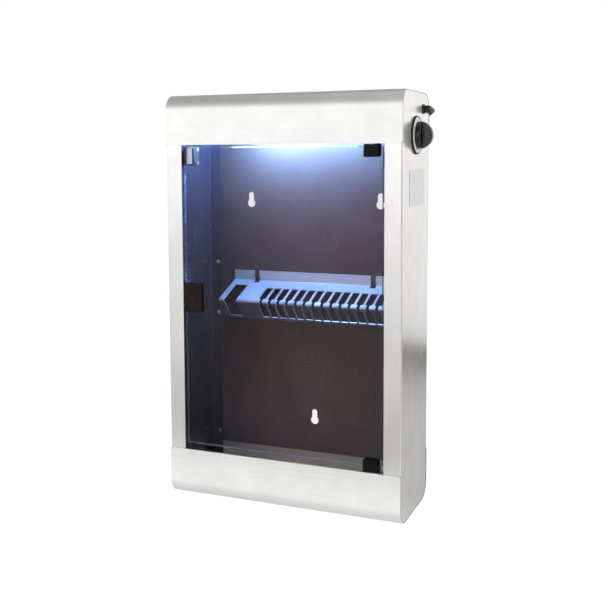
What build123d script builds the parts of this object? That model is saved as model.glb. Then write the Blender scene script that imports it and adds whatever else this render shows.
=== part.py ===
from build123d import *
from math import cos, pi, radians, sin, sqrt, tan
import os

os.makedirs("parts", exist_ok=True)

# A wall-hung knife sterilizer cabinet. The origin is at the middle of its underside,
# +X is to the right, -Y is the front with the glass door, +Z is up. All sizes are mm.

# Casing
casing_width = 360.0
casing_depth = 140.0
casing_height = 600.0
corner_radius = 24.0
sheet = 1.2
panel_gap = 0.1
cover_front_height = 73.0
cover_tip_radius = 4.0
stile_width = 25.0
rear_flange_width = 18.0
bend_outer_radius = 2.4
back_panel_reveal = 0.5
back_panel_lap = 28.0

half_width = casing_width / 2
front_y = -casing_depth / 2
rear_y = casing_depth / 2
inset = sheet + panel_gap
stile_y = front_y + inset
back_outer_y = rear_y - inset
back_inner_y = back_outer_y - sheet
inner_x = half_width - sheet
window_half_width = half_width - stile_width
window_low_z = cover_front_height
window_high_z = casing_height - cover_front_height
folded_low_z = corner_radius
folded_high_z = casing_height - corner_radius
back_low_z = window_low_z - back_panel_lap
back_high_z = window_high_z + back_panel_lap

# Rivets through the rear flanges
rivet_radius = 2.0
rivet_head_radius = 3.2
rivet_head_height = 1.0
rivet_hole_gap = 0.1
rivet_x = 166.5
rivet_from_end = 62.0
rivet_heights = (rivet_from_end, 258.0, 341.0, casing_height - rivet_from_end)

# Keyholes in the back panel
keyhole_head_radius = 6.5
keyhole_slot_radius = 4.4
keyhole_rise = 13.0
upper_keyhole_spacing = 214.0
upper_keyhole_z = casing_height - 163.0
lower_keyhole_z = 96.0

# Hooks welded to the back panel
hook_width = 7.0
hook_thickness = 1.2
hook_height = 15.0
hook_spacing = 193.4
rack_hook_z = 318.5
spare_hook_z = 135.0
hook_tip_flat = 1.0

# Knife rack
rack_sheet = 1.5
rack_width = 273.0
rack_flange_height = 16.0
rack_bend_z = 313.6
rack_front_z = 289.3
rack_front_reach = 58.6
rack_apron_drop = 31.0
rack_apron_reach = 28.3
rack_bend_radius = 2.0
rack_hook_gap = 0.3
rack_window_side_gap = 1.0
rack_window_reach = 5.0
rack_window_drop = 5.0
slot_pitch = 14.28
slot_count = 14
first_slot_x = -65.6
slot_width = 10.8
slot_length = 41.0
neck_width = 4.8
neck_length = 7.0
neck_taper = 1.2
apron_slot_length = 37.0
steel_slot_x = -117.3
steel_slot_width = 21.3
steel_slot_length = 47.0

# Glass door
pane_thickness = 5.0
pane_mid_y = front_y + 6.0
pane_left_gap = 2.5
pane_right_gap = 3.0
pane_low_gap = 9.0
pane_high_gap = 3.5
pane_corner_radius = 2.0

# Hinge clamps and pivots
clamp_width = 21.5
clamp_depth = 13.0
clamp_height = 17.5
clamp_cover_gap = 0.8
clamp_chamfer = 2.5
clamp_pad = 0.5
pivot_from_stile = 13.5
pivot_from_clamp_edge = 5.5
clamp_screw_radius = 2.0
clamp_screw_spacing = 9.0
screw_socket_radius = 1.0
screw_socket_depth = 1.6
screw_gap = 0.05
pin_radius = 2.5
pin_gap = 0.05
pin_reach = 13.0
bush_wall = 0.85
bush_flange_radius = 4.6
bush_flange_height = 1.0
bush_sleeve_length = 7.0
bush_clamp_gap = 0.3
bracket_sheet = 2.0
bracket_width = 23.0
bracket_depth = 12.0
bracket_leg = 22.0

# Strike clip on the pane and the magnetic catch behind it
strike_sheet = 1.0
strike_gap = 0.1
strike_width = 28.5
strike_low_z = 281.0
strike_high_z = 323.5
strike_screw_radius = 1.6
catch_width = 18.0
catch_height = 32.0
catch_depth = 7.6
catch_clear = 0.3
pole_width = 2.0
pole_spacing = 8.0
pole_height = 24.0
pole_depth = 4.5
catch_proud = 0.5
small_bracket_sheet = 1.5
wall_leg = 14.0
catch_screw_radius = 1.5
catch_screw_spacing = 20.0
screw_head_radius = 2.8
screw_head_height = 1.6

# Door switch with its lever
switch_width = 10.3
switch_height = 28.0
switch_depth = 16.0
switch_right_x = -140.9
switch_high_z = window_high_z - 2.0
lever_thickness = 0.6
lever_width = 8.6
lever_length = 24.0
lever_clear = 0.3
lever_eye_radius = 1.5
lever_pin_radius = 0.8
plunger_radius = 1.5
plunger_below_pivot = 8.0
plunger_bore_depth = 6.0
plunger_buried = 4.0
switch_body_back = 3.6
switch_ear_thickness = 0.7
switch_screw_radius = 1.5
switch_screw_spacing = 20.0

# Bumper behind the right stile's free edge
bumper_width = 9.0
bumper_proud = 1.5
bumper_thickness = 1.4
bumper_low_z = window_high_z - 32.0
bumper_length = 20.0

# Timer in the right side
timer_y = -2.5
timer_z = casing_height - 61.3
timer_body_size = 46.0
timer_body_depth = 23.0
timer_screw_spacing = 28.0
timer_screw_radius = 2.0
timer_shaft_radius = 3.0
timer_shaft_gap = 0.08
timer_bush_radius = 5.0
timer_tab_width = 6.3
timer_tab_sheet = 0.8
timer_tab_length = 7.0
gasket_radius = 27.0
gasket_thickness = 1.0
dial_radius = 25.5
dial_thickness = 2.0
knob_gap = 0.5
knob_radius = 19.0
knob_skirt = 7.0
knob_rim = 1.5
knob_height = 20.5
knob_grip_width = 11.0
knob_wall = 2.0

# Lamp tray, lamp and control gear in the top
tray_sheet = 1.2
tray_width = 300.0
tray_depth = 96.0
tray_z = casing_height - 27.0
tray_flange = 12.0
stud_radius = 2.0
stud_spacing_x = 240.0
stud_spacing_y = 70.0
nut_across = 7.0
nut_height = 3.2
stud_tail = 1.5
lamp_length = 212.1
lamp_radius = 8.0
lamp_wall = 0.9
lamp_y = 12.0
lamp_z = tray_z - 21.0
lamp_cap_length = 9.0
lamp_cap_wall = 0.4
lamp_pin_radius = 1.2
lamp_pin_spacing = 4.75
lamp_pin_length = 7.0
holder_thickness = 11.0
holder_width = 18.0
holder_gap = 0.4
holder_pocket_radius = 4.4
holder_pocket_depth = 8.0
holder_below_axis = 10.0
holder_foot = 9.0
holder_foot_height = 3.0
holder_screw_radius = 1.5
ballast_length = 86.0
ballast_width = 30.0
ballast_height = 19.0
ballast_x = -38.0
ballast_y = -14.0
ballast_ear = 9.0
ballast_ear_height = 2.0
block_length = 28.0
block_width = 40.0
block_height = 13.0
block_x = 96.0
block_y = 14.0
block_ways = 4
block_screw_radius = 1.9
earth_x = 60.0
earth_y = 30.0
earth_stud_height = 14.0

# Wiring inside the casing
wire_radius = 1.1
wire_bend = 4.0
supply_radius = 3.3
supply_bend = 10.0
supply_run_in = 14.0
supply_run_out = 22.0
supply_rise = 3.0
wire_run_long = 20.0
wire_run = 16.0
wire_run_short = 14.0

# Plain plate on the right side
plate_y = 3.0
plate_z = casing_height - 134.0
plate_width = 76.0
plate_height = 50.0
plate_thickness = 0.5
plate_corner_radius = 2.5

# Strain relief, power cord, coil and plug
relief_y = rear_y - 35.0
relief_z = casing_height - 23.5
relief_flange_radius = 7.0
relief_flange_thickness = 2.0
relief_neck_radius = 5.6
relief_neck_gap = 0.2
relief_nut_across = 15.0
relief_nut_height = 4.0
relief_out = 6.6
relief_root_radius = 5.3
relief_tip_radius = 4.1
relief_length = 16.0
cord_radius = 3.3
tie_sheet = 0.8
tie_width = 8.0
tie_gap = 0.8
coil_x = -30.0
coil_y = 137.0
coil_pitch = 8.3
coil_half_turns = 4
coil_mid_radius = 36.3
plug_body_radius = 18.0
plug_body_length = 34.0
plug_nose_radius = 15.0
plug_relief_length = 26.0
plug_x = 64.0
plug_y = 95.0
plug_pin_radius = 2.4
plug_pin_length = 19.0
plug_pin_spacing = 19.0


# Side panels: a flat plate with a stile folded in at the front and a flange at the rear.
timer_holes = (timer_y - timer_screw_spacing / 2, timer_y + timer_screw_spacing / 2)
for side, sign in (("left", -1), ("right", 1)):
    outer_x = sign * half_width
    with BuildPart() as side_panel:
        plate_plane_x = inner_x if sign > 0 else -half_width
        with BuildSketch(Plane.YZ.offset(plate_plane_x)):
            with Locations((0, casing_height / 2)):
                RectangleRounded(
                    casing_depth - 2 * inset, casing_height - 2 * inset, corner_radius - inset
                )
                Rectangle(casing_depth, folded_high_z - folded_low_z, mode=Mode.SUBTRACT)
        extrude(amount=sheet)
        with BuildSketch(Plane.XY.offset(folded_low_z)) as fold:
            with BuildLine():
                Polyline(
                    (sign * window_half_width, stile_y),
                    (outer_x, stile_y),
                    (outer_x, back_inner_y),
                    (sign * (half_width - rear_flange_width), back_inner_y),
                    (sign * (half_width - rear_flange_width), back_inner_y - sheet),
                    (sign * inner_x, back_inner_y - sheet),
                    (sign * inner_x, stile_y + sheet),
                    (sign * window_half_width, stile_y + sheet),
                    close=True,
                )
            make_face()
            outer_bends, inner_bends = fold.vertices().group_by(Axis.X, reverse=sign > 0)[:2]
            fillet(outer_bends, bend_outer_radius)
            fillet(inner_bends, bend_outer_radius - sheet)
        extrude(amount=folded_high_z - folded_low_z)
        with BuildSketch(Plane.XZ.offset(-back_inner_y)):
            with Locations([(sign * rivet_x, z) for z in rivet_heights]):
                Circle(rivet_radius + rivet_hole_gap)
        extrude(amount=sheet, mode=Mode.SUBTRACT)
        if side == "right":
            with BuildSketch(Plane.YZ.offset(half_width)):
                with Locations((timer_y, timer_z)):
                    Circle(timer_bush_radius + rivet_hole_gap)
                with Locations([(y, timer_z) for y in timer_holes]):
                    Circle(timer_screw_radius + rivet_hole_gap)
                with Locations((relief_y, relief_z)):
                    Circle(relief_neck_radius + relief_neck_gap)
            extrude(amount=-sheet, mode=Mode.SUBTRACT)
    side_panel.part.label = f"{side}_side_panel"
    export_step(side_panel.part, f"parts/{side}_side_panel.step")

# Top and bottom covers: one sheet each, rolled round the casing from front to back.
cover_inner_top_z = casing_height - sheet
stud_places = [
    (sx * stud_spacing_x / 2, sy * stud_spacing_y / 2) for sx in (-1, 1) for sy in (-1, 1)
]
stud_tip_z = tray_z - nut_height - stud_tail
for name, low_z, edge_z in (
    ("top_cover", window_high_z, window_high_z),
    ("bottom_cover", 0, window_low_z),
):
    with BuildPart() as cover:
        with BuildSketch(Plane.YZ.offset(-half_width)):
            with Locations((0, casing_height / 2)):
                RectangleRounded(casing_depth, casing_height, corner_radius)
                RectangleRounded(
                    casing_depth - 2 * sheet,
                    casing_height - 2 * sheet,
                    corner_radius - sheet,
                    mode=Mode.SUBTRACT,
                )
            with Locations((0, low_z + cover_front_height / 2)):
                Rectangle(casing_depth, cover_front_height, mode=Mode.INTERSECT)
        extrude(amount=casing_width)
        tips = cover.edges().filter_by(Axis.Y).filter_by_position(Axis.Z, edge_z - sheet, edge_z + sheet)
        fillet(tips, cover_tip_radius)
        with BuildSketch(Plane.XZ.offset(-rear_y)):
            with Locations([(sx * rivet_x, z) for sx in (-1, 1) for z in rivet_heights]):
                Circle(rivet_radius + rivet_hole_gap)
        extrude(amount=sheet, mode=Mode.SUBTRACT)
        if name == "top_cover":
            with BuildSketch(Plane.XY.offset(stud_tip_z)):
                with Locations(stud_places):
                    Circle(stud_radius)
            extrude(amount=cover_inner_top_z - stud_tip_z)
    cover.part.label = name
    export_step(cover.part, f"parts/{name}.step")

# Back panel: flat sheet with three keyholes and two pairs of welded hooks.
rack_rear_y = back_inner_y
rack_flange_y = rack_rear_y - rack_sheet
hook_back_y = rack_flange_y - rack_hook_gap
hook_front_y = hook_back_y - hook_thickness
hook_places = [
    (sx * hook_spacing / 2, z) for sx in (-1, 1) for z in (rack_hook_z, spare_hook_z)
]
keyhole_places = [
    (-upper_keyhole_spacing / 2, upper_keyhole_z),
    (upper_keyhole_spacing / 2, upper_keyhole_z),
    (0, lower_keyhole_z),
]
with BuildPart() as back_panel:
    with BuildSketch(Plane.XZ.offset(-back_outer_y)):
        with Locations((0, casing_height / 2)):
            Rectangle(2 * (half_width - back_panel_reveal), back_high_z - back_low_z)
        with Locations([(sx * rivet_x, z) for sx in (-1, 1) for z in rivet_heights]):
            Circle(rivet_radius + rivet_hole_gap, mode=Mode.SUBTRACT)
        with Locations(keyhole_places):
            Circle(keyhole_head_radius, mode=Mode.SUBTRACT)
        with Locations([(x, z + keyhole_rise) for x, z in keyhole_places]):
            Circle(keyhole_slot_radius, mode=Mode.SUBTRACT)
        with Locations([(x, z + keyhole_rise / 2) for x, z in keyhole_places]):
            Rectangle(2 * keyhole_slot_radius, keyhole_rise, mode=Mode.SUBTRACT)
    extrude(amount=sheet)
    with BuildSketch(Plane.XZ.offset(-back_inner_y)):
        with Locations(hook_places):
            Rectangle(hook_width, hook_thickness, align=(Align.CENTER, Align.MIN))
    extrude(amount=back_inner_y - hook_front_y)
    with BuildSketch(Plane.XZ.offset(-hook_back_y)):
        with Locations(hook_places):
            Rectangle(hook_width, hook_height, align=(Align.CENTER, Align.MIN))
    extrude(amount=hook_thickness)
    hook_tips = (
        back_panel.edges()
        .filter_by(Axis.Y)
        .filter_by(lambda e: e.center().Y < hook_back_y)
        .filter_by(
            lambda e: any(abs(e.center().Z - z - hook_height) < hook_thickness for _, z in hook_places)
        )
    )
    fillet(hook_tips, (hook_width - hook_tip_flat) / 2)
back_panel.part.label = "back_panel"
export_step(back_panel.part, "parts/back_panel.step")

# Rivets: the outer two rows also hold the rear lips of the covers.
with BuildPart() as panel_rivets:
    for sx in (-1, 1):
        for z in rivet_heights:
            through_cover = z < window_low_z or z > window_high_z
            shank_end_y = rear_y if through_cover else back_outer_y
            with BuildSketch(Plane.XZ.offset(-shank_end_y)):
                with Locations((sx * rivet_x, z)):
                    Circle(rivet_radius)
            extrude(amount=shank_end_y - back_inner_y + sheet)
            with BuildSketch(Plane.XZ.offset(sheet - back_inner_y)):
                with Locations((sx * rivet_x, z)):
                    Circle(rivet_head_radius)
            extrude(amount=rivet_head_height, taper=35)
panel_rivets.part.label = "panel_rivets"
export_step(panel_rivets.part, "parts/panel_rivets.step")

# Knife rack: a rear flange, a shelf sloping down to the front and a slotted apron under it.
rack_mid_y = rack_rear_y - rack_sheet / 2
rack_front_y = rack_mid_y - rack_front_reach
apron_end_y = rack_front_y + rack_apron_reach
apron_end_z = rack_front_z - rack_apron_drop
shelf_up = Vector(0, rack_front_reach, rack_bend_z - rack_front_z).normalized()
apron_down = Vector(0, rack_apron_reach, -rack_apron_drop).normalized()
front_bend = Vector(0, rack_front_y, rack_front_z)
across = Vector(1, 0, 0)
shelf_plane = Plane(origin=front_bend, x_dir=across, z_dir=across.cross(shelf_up))
apron_plane = Plane(origin=front_bend, x_dir=across, z_dir=across.cross(apron_down))
comb_x = [first_slot_x + i * slot_pitch for i in range(slot_count)]
cut_depth = 2 * rack_sheet
with BuildPart() as knife_rack:
    with BuildSketch(Plane.YZ.offset(-rack_width / 2)):
        with BuildLine():
            FilletPolyline(
                (rack_mid_y, rack_bend_z + rack_flange_height),
                (rack_mid_y, rack_bend_z),
                (rack_front_y, rack_front_z),
                (apron_end_y, apron_end_z),
                radius=rack_bend_radius,
            )
        trace(line_width=rack_sheet)
    extrude(amount=rack_width)
    for plane, length, steel_length in (
        (shelf_plane, slot_length, steel_slot_length),
        (apron_plane, apron_slot_length, apron_slot_length),
    ):
        with BuildSketch(plane):
            for x in comb_x:
                with BuildLine():
                    Polyline(
                        (x - neck_width / 2, -rack_sheet),
                        (x + neck_width / 2, -rack_sheet),
                        (x + neck_width / 2, neck_length),
                        (x + slot_width / 2, neck_length + neck_taper),
                        (x + slot_width / 2, length),
                        (x - slot_width / 2, length),
                        (x - slot_width / 2, neck_length + neck_taper),
                        (x - neck_width / 2, neck_length),
                        close=True,
                    )
                make_face()
            with Locations((steel_slot_x, -rack_sheet)):
                Rectangle(
                    steel_slot_width, steel_length + rack_sheet, align=(Align.CENTER, Align.MIN)
                )
        extrude(amount=cut_depth, both=True, mode=Mode.SUBTRACT)
    window_top_z = rack_hook_z + hook_thickness
    window_front_y = hook_front_y - rack_window_reach
    with BuildSketch(Plane.XY.offset(window_top_z)):
        with Locations([(sx * hook_spacing / 2, window_front_y) for sx in (-1, 1)]):
            Rectangle(
                hook_width + 2 * rack_window_side_gap,
                rack_rear_y - window_front_y + sheet,
                align=(Align.CENTER, Align.MIN),
            )
    extrude(amount=rack_bend_z - rack_window_drop - window_top_z, mode=Mode.SUBTRACT)
knife_rack.part.label = "knife_rack"
export_step(knife_rack.part, "parts/knife_rack.step")

# Door pane: toughened smoked glass hung at its right edge.
pane_left_x = -window_half_width + pane_left_gap
pane_right_x = window_half_width - pane_right_gap
pane_low_z = window_low_z + pane_low_gap
pane_high_z = window_high_z - pane_high_gap
pane_front_y = pane_mid_y - pane_thickness / 2
pane_rear_y = pane_mid_y + pane_thickness / 2
with BuildPart() as door_pane:
    with BuildSketch(Plane.XZ.offset(-pane_rear_y)):
        with Locations(((pane_left_x + pane_right_x) / 2, (pane_low_z + pane_high_z) / 2)):
            RectangleRounded(pane_right_x - pane_left_x, pane_high_z - pane_low_z, pane_corner_radius)
    extrude(amount=pane_thickness)
door_pane.part.label = "door_pane"
export_step(door_pane.part, "parts/door_pane.step")

# Hinge clamps: die-cast blocks that grip the pane's right corners above and below.
pivot_x = window_half_width - pivot_from_stile
clamp_right_x = pivot_x + pivot_from_clamp_edge
clamp_left_x = clamp_right_x - clamp_width
clamp_mid_x = (clamp_left_x + clamp_right_x) / 2
clamp_front_y = pane_mid_y - clamp_depth / 2
clamp_rear_y = pane_mid_y + clamp_depth / 2
grip_depth = pane_thickness + 2 * clamp_pad
clamps = (
    ("top", window_high_z - clamp_cover_gap - clamp_height, window_high_z - clamp_cover_gap, 1),
    ("bottom", window_low_z + clamp_cover_gap, window_low_z + clamp_cover_gap + clamp_height, -1),
)
for name, low_z, high_z, up in clamps:
    grip_z = pane_high_z if up > 0 else pane_low_z
    open_z = low_z if up > 0 else high_z
    screw_z = (grip_z + open_z) / 2
    with BuildPart() as hinge_clamp:
        with BuildSketch(Plane.XZ.offset(-clamp_rear_y)):
            with Locations((clamp_mid_x, (low_z + high_z) / 2)):
                Rectangle(clamp_width, clamp_height)
        extrude(amount=clamp_depth)
        chamfer(
            hinge_clamp.edges().filter_by(Axis.Y).group_by(Axis.X)[-1].sort_by(Axis.Z)[0 if up > 0 else -1],
            clamp_chamfer,
        )
        outline = (
            hinge_clamp.faces().sort_by(Axis.Y)[0].edges()
            + hinge_clamp.faces().sort_by(Axis.Y)[-1].edges()
        )
        chamfer(outline, clamp_pad)
        with BuildSketch(Plane.XZ.offset(-(pane_mid_y + grip_depth / 2))):
            with Locations((clamp_mid_x, grip_z)):
                Rectangle(
                    2 * clamp_width,
                    clamp_height,
                    align=(Align.CENTER, Align.MAX if up > 0 else Align.MIN),
                )
        extrude(amount=grip_depth, mode=Mode.SUBTRACT)
        with BuildSketch(Plane.XY.offset(high_z if up > 0 else low_z)):
            with Locations((pivot_x, pane_mid_y)):
                Circle(pin_radius + pin_gap)
        extrude(amount=-up * abs(grip_z - (high_z if up > 0 else low_z)), mode=Mode.SUBTRACT)
        with BuildSketch(Plane.XZ.offset(-clamp_rear_y)):
            with Locations([(clamp_mid_x + s * clamp_screw_spacing / 2, screw_z) for s in (-1, 1)]):
                Circle(clamp_screw_radius + screw_gap)
        extrude(amount=(clamp_depth - grip_depth) / 2, mode=Mode.SUBTRACT)
    hinge_clamp.part.label = f"{name}_hinge_clamp"
    export_step(hinge_clamp.part, f"parts/{name}_hinge_clamp.step")

# Rubber pads between the glass and the clamps, front and rear.
with BuildPart() as clamp_pads:
    for name, low_z, high_z, up in clamps:
        pad_low_z = low_z if up > 0 else pane_low_z
        pad_high_z = pane_high_z if up > 0 else high_z
        for pad_rear_y in (pane_front_y, pane_rear_y + clamp_pad):
            with BuildSketch(Plane.XZ.offset(-pad_rear_y)):
                with Locations((clamp_mid_x, (pad_low_z + pad_high_z) / 2)):
                    Rectangle(
                        clamp_width - 2 * clamp_chamfer, pad_high_z - pad_low_z - 2 * clamp_pad
                    )
            extrude(amount=clamp_pad)
clamp_pads.part.label = "clamp_pads"
export_step(clamp_pads.part, "parts/clamp_pads.step")

# Grub screws that press the rear pads onto the glass.
with BuildPart() as clamp_screws:
    for name, low_z, high_z, up in clamps:
        screw_z = (pane_high_z + low_z) / 2 if up > 0 else (pane_low_z + high_z) / 2
        for s in (-1, 1):
            with BuildSketch(Plane.XZ.offset(-clamp_rear_y)):
                with Locations((clamp_mid_x + s * clamp_screw_spacing / 2, screw_z)):
                    Circle(clamp_screw_radius)
            extrude(amount=(clamp_depth - grip_depth) / 2)
            with BuildSketch(Plane.XZ.offset(-clamp_rear_y)):
                with Locations((clamp_mid_x + s * clamp_screw_spacing / 2, screw_z)):
                    RegularPolygon(screw_socket_radius, 6)
            extrude(amount=screw_socket_depth, mode=Mode.SUBTRACT)
clamp_screws.part.label = "clamp_screws"
export_step(clamp_screws.part, "parts/clamp_screws.step")

# Pivot pins, their nylon bushes and the brackets welded behind the covers' edges.
for name, low_z, high_z, up in clamps:
    end_z = high_z if up > 0 else low_z
    root_z = pane_high_z if up > 0 else pane_low_z
    bush_z = end_z + up * bush_clamp_gap
    plate_z0 = bush_z + up * bush_flange_height
    with BuildPart() as pivot_pin:
        with BuildSketch(Plane.XY.offset(root_z)):
            with Locations((pivot_x, pane_mid_y)):
                Circle(pin_radius)
        extrude(amount=up * (abs(end_z - root_z) + pin_reach))
    pivot_pin.part.label = f"{name}_pivot_pin"
    export_step(pivot_pin.part, f"parts/{name}_pivot_pin.step")
    with BuildPart() as pivot_bush:
        with BuildSketch(Plane.XY.offset(bush_z)):
            with Locations((pivot_x, pane_mid_y)):
                Circle(bush_flange_radius)
        extrude(amount=up * bush_flange_height)
        with BuildSketch(Plane.XY.offset(plate_z0)):
            with Locations((pivot_x, pane_mid_y)):
                Circle(pin_radius + pin_gap + bush_wall)
        extrude(amount=up * bush_sleeve_length)
        with BuildSketch(Plane.XY.offset(bush_z)):
            with Locations((pivot_x, pane_mid_y)):
                Circle(pin_radius + pin_gap)
        extrude(amount=up * (bush_flange_height + bush_sleeve_length), mode=Mode.SUBTRACT)
    pivot_bush.part.label = f"{name}_pivot_bush"
    export_step(pivot_bush.part, f"parts/{name}_pivot_bush.step")
    with BuildPart() as pivot_bracket:
        with BuildSketch(Plane.YZ.offset(pivot_x - bracket_width / 2)):
            with BuildLine():
                Polyline(
                    (front_y + sheet, plate_z0),
                    (front_y + sheet + bracket_depth, plate_z0),
                    (front_y + sheet + bracket_depth, plate_z0 + up * bracket_sheet),
                    (front_y + sheet + bracket_sheet, plate_z0 + up * bracket_sheet),
                    (front_y + sheet + bracket_sheet, plate_z0 + up * bracket_leg),
                    (front_y + sheet, plate_z0 + up * bracket_leg),
                    close=True,
                )
            make_face()
        extrude(amount=bracket_width)
        with BuildSketch(Plane.XY.offset(plate_z0)):
            with Locations((pivot_x, pane_mid_y)):
                Circle(pin_radius + pin_gap + bush_wall + pin_gap)
        extrude(amount=up * bracket_leg, mode=Mode.SUBTRACT)
    pivot_bracket.part.label = f"{name}_pivot_bracket"
    export_step(pivot_bracket.part, f"parts/{name}_pivot_bracket.step")

# Strike clip: a U of sheet pushed over the pane's free edge and held by a grub screw.
clip_left_x = pane_left_x - strike_gap - strike_sheet
clip_right_x = clip_left_x + strike_width
clip_front_y = pane_front_y - strike_gap - strike_sheet
clip_rear_y = pane_rear_y + strike_gap + strike_sheet
strike_mid_z = (strike_low_z + strike_high_z) / 2
strike_height = strike_high_z - strike_low_z
strike_screw_x = clip_right_x - 2 * screw_head_radius
with BuildPart() as strike_clip:
    with BuildSketch(Plane.XY.offset(strike_low_z)):
        with BuildLine():
            Polyline(
                (clip_right_x, clip_front_y),
                (clip_left_x, clip_front_y),
                (clip_left_x, clip_rear_y),
                (clip_right_x, clip_rear_y),
                (clip_right_x, clip_rear_y - strike_sheet),
                (clip_left_x + strike_sheet, clip_rear_y - strike_sheet),
                (clip_left_x + strike_sheet, clip_front_y + strike_sheet),
                (clip_right_x, clip_front_y + strike_sheet),
                close=True,
            )
        make_face()
    extrude(amount=strike_height)
    with BuildSketch(Plane.XZ.offset(-clip_rear_y)):
        with Locations((strike_screw_x, strike_mid_z)):
            Circle(strike_screw_radius + screw_gap)
    extrude(amount=strike_sheet, mode=Mode.SUBTRACT)
strike_clip.part.label = "strike_clip"
export_step(strike_clip.part, "parts/strike_clip.step")

with BuildPart() as strike_screw:
    with BuildSketch(Plane.XZ.offset(-clip_rear_y)):
        with Locations((strike_screw_x, strike_mid_z)):
            Circle(strike_screw_radius)
    extrude(amount=strike_sheet + strike_gap)
strike_screw.part.label = "strike_screw"
export_step(strike_screw.part, "parts/strike_screw.step")

# Magnetic catch: a plastic case with a magnet between two steel poles, on an angle bracket.
pole_front_y = clip_rear_y + catch_clear
catch_front_y = pole_front_y + catch_proud
catch_rear_y = catch_front_y + catch_depth
catch_left_x = clip_left_x
catch_mid_x = catch_left_x + catch_width / 2
with BuildPart() as catch_case:
    with BuildSketch(Plane.XZ.offset(-catch_rear_y)):
        with Locations((catch_mid_x, strike_mid_z)):
            Rectangle(catch_width, catch_height)
    extrude(amount=catch_depth)
    chamfer(catch_case.faces().sort_by(Axis.Y)[0].edges(), catch_proud)
    with BuildSketch(Plane.XZ.offset(-catch_front_y)):
        with Locations((catch_mid_x, strike_mid_z)):
            Rectangle(pole_spacing + pole_width, pole_height)
    extrude(amount=-(pole_depth - catch_proud), mode=Mode.SUBTRACT)
    with BuildSketch(Plane.XZ.offset(-catch_rear_y)):
        with Locations([(catch_mid_x, strike_mid_z + s * catch_screw_spacing / 2) for s in (-1, 1)]):
            Circle(catch_screw_radius + screw_gap)
    extrude(amount=catch_depth - pole_depth + catch_proud, mode=Mode.SUBTRACT)
catch_case.part.label = "catch_case"
export_step(catch_case.part, "parts/catch_case.step")

with BuildPart() as catch_magnet:
    with BuildSketch(Plane.XZ.offset(-(pole_front_y + pole_depth))):
        with Locations([(catch_mid_x + s * pole_spacing / 2, strike_mid_z) for s in (-1, 1)]):
            Rectangle(pole_width, pole_height)
    extrude(amount=pole_depth)
    with BuildSketch(Plane.XZ.offset(-(pole_front_y + pole_depth))):
        with Locations((catch_mid_x, strike_mid_z)):
            Rectangle(pole_spacing - pole_width, pole_height)
    extrude(amount=pole_depth - catch_proud)
catch_magnet.part.label = "catch_magnet"
export_step(catch_magnet.part, "parts/catch_magnet.step")

with BuildPart() as catch_bracket:
    with BuildSketch(Plane.XY.offset(strike_mid_z - catch_height / 2)):
        with BuildLine():
            Polyline(
                (catch_left_x + catch_width, catch_rear_y),
                (-inner_x, catch_rear_y),
                (-inner_x, catch_rear_y + wall_leg),
                (-inner_x + small_bracket_sheet, catch_rear_y + wall_leg),
                (-inner_x + small_bracket_sheet, catch_rear_y + small_bracket_sheet),
                (catch_left_x + catch_width, catch_rear_y + small_bracket_sheet),
                close=True,
            )
        make_face()
    extrude(amount=catch_height)
    with BuildSketch(Plane.XZ.offset(-catch_rear_y)):
        with Locations([(catch_mid_x, strike_mid_z + s * catch_screw_spacing / 2) for s in (-1, 1)]):
            Circle(catch_screw_radius + screw_gap)
    extrude(amount=-small_bracket_sheet, mode=Mode.SUBTRACT)
catch_bracket.part.label = "catch_bracket"
export_step(catch_bracket.part, "parts/catch_bracket.step")

with BuildPart() as catch_screws:
    head_y = catch_rear_y + small_bracket_sheet
    shank = small_bracket_sheet + catch_depth - pole_depth + catch_proud
    with BuildSketch(Plane.XZ.offset(-(head_y + screw_head_height))):
        with Locations([(catch_mid_x, strike_mid_z + s * catch_screw_spacing / 2) for s in (-1, 1)]):
            Circle(screw_head_radius)
    extrude(amount=screw_head_height)
    with BuildSketch(Plane.XZ.offset(-head_y)):
        with Locations([(catch_mid_x, strike_mid_z + s * catch_screw_spacing / 2) for s in (-1, 1)]):
            Circle(catch_screw_radius)
    extrude(amount=shank)
catch_screws.part.label = "catch_screws"
export_step(catch_screws.part, "parts/catch_screws.step")

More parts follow.
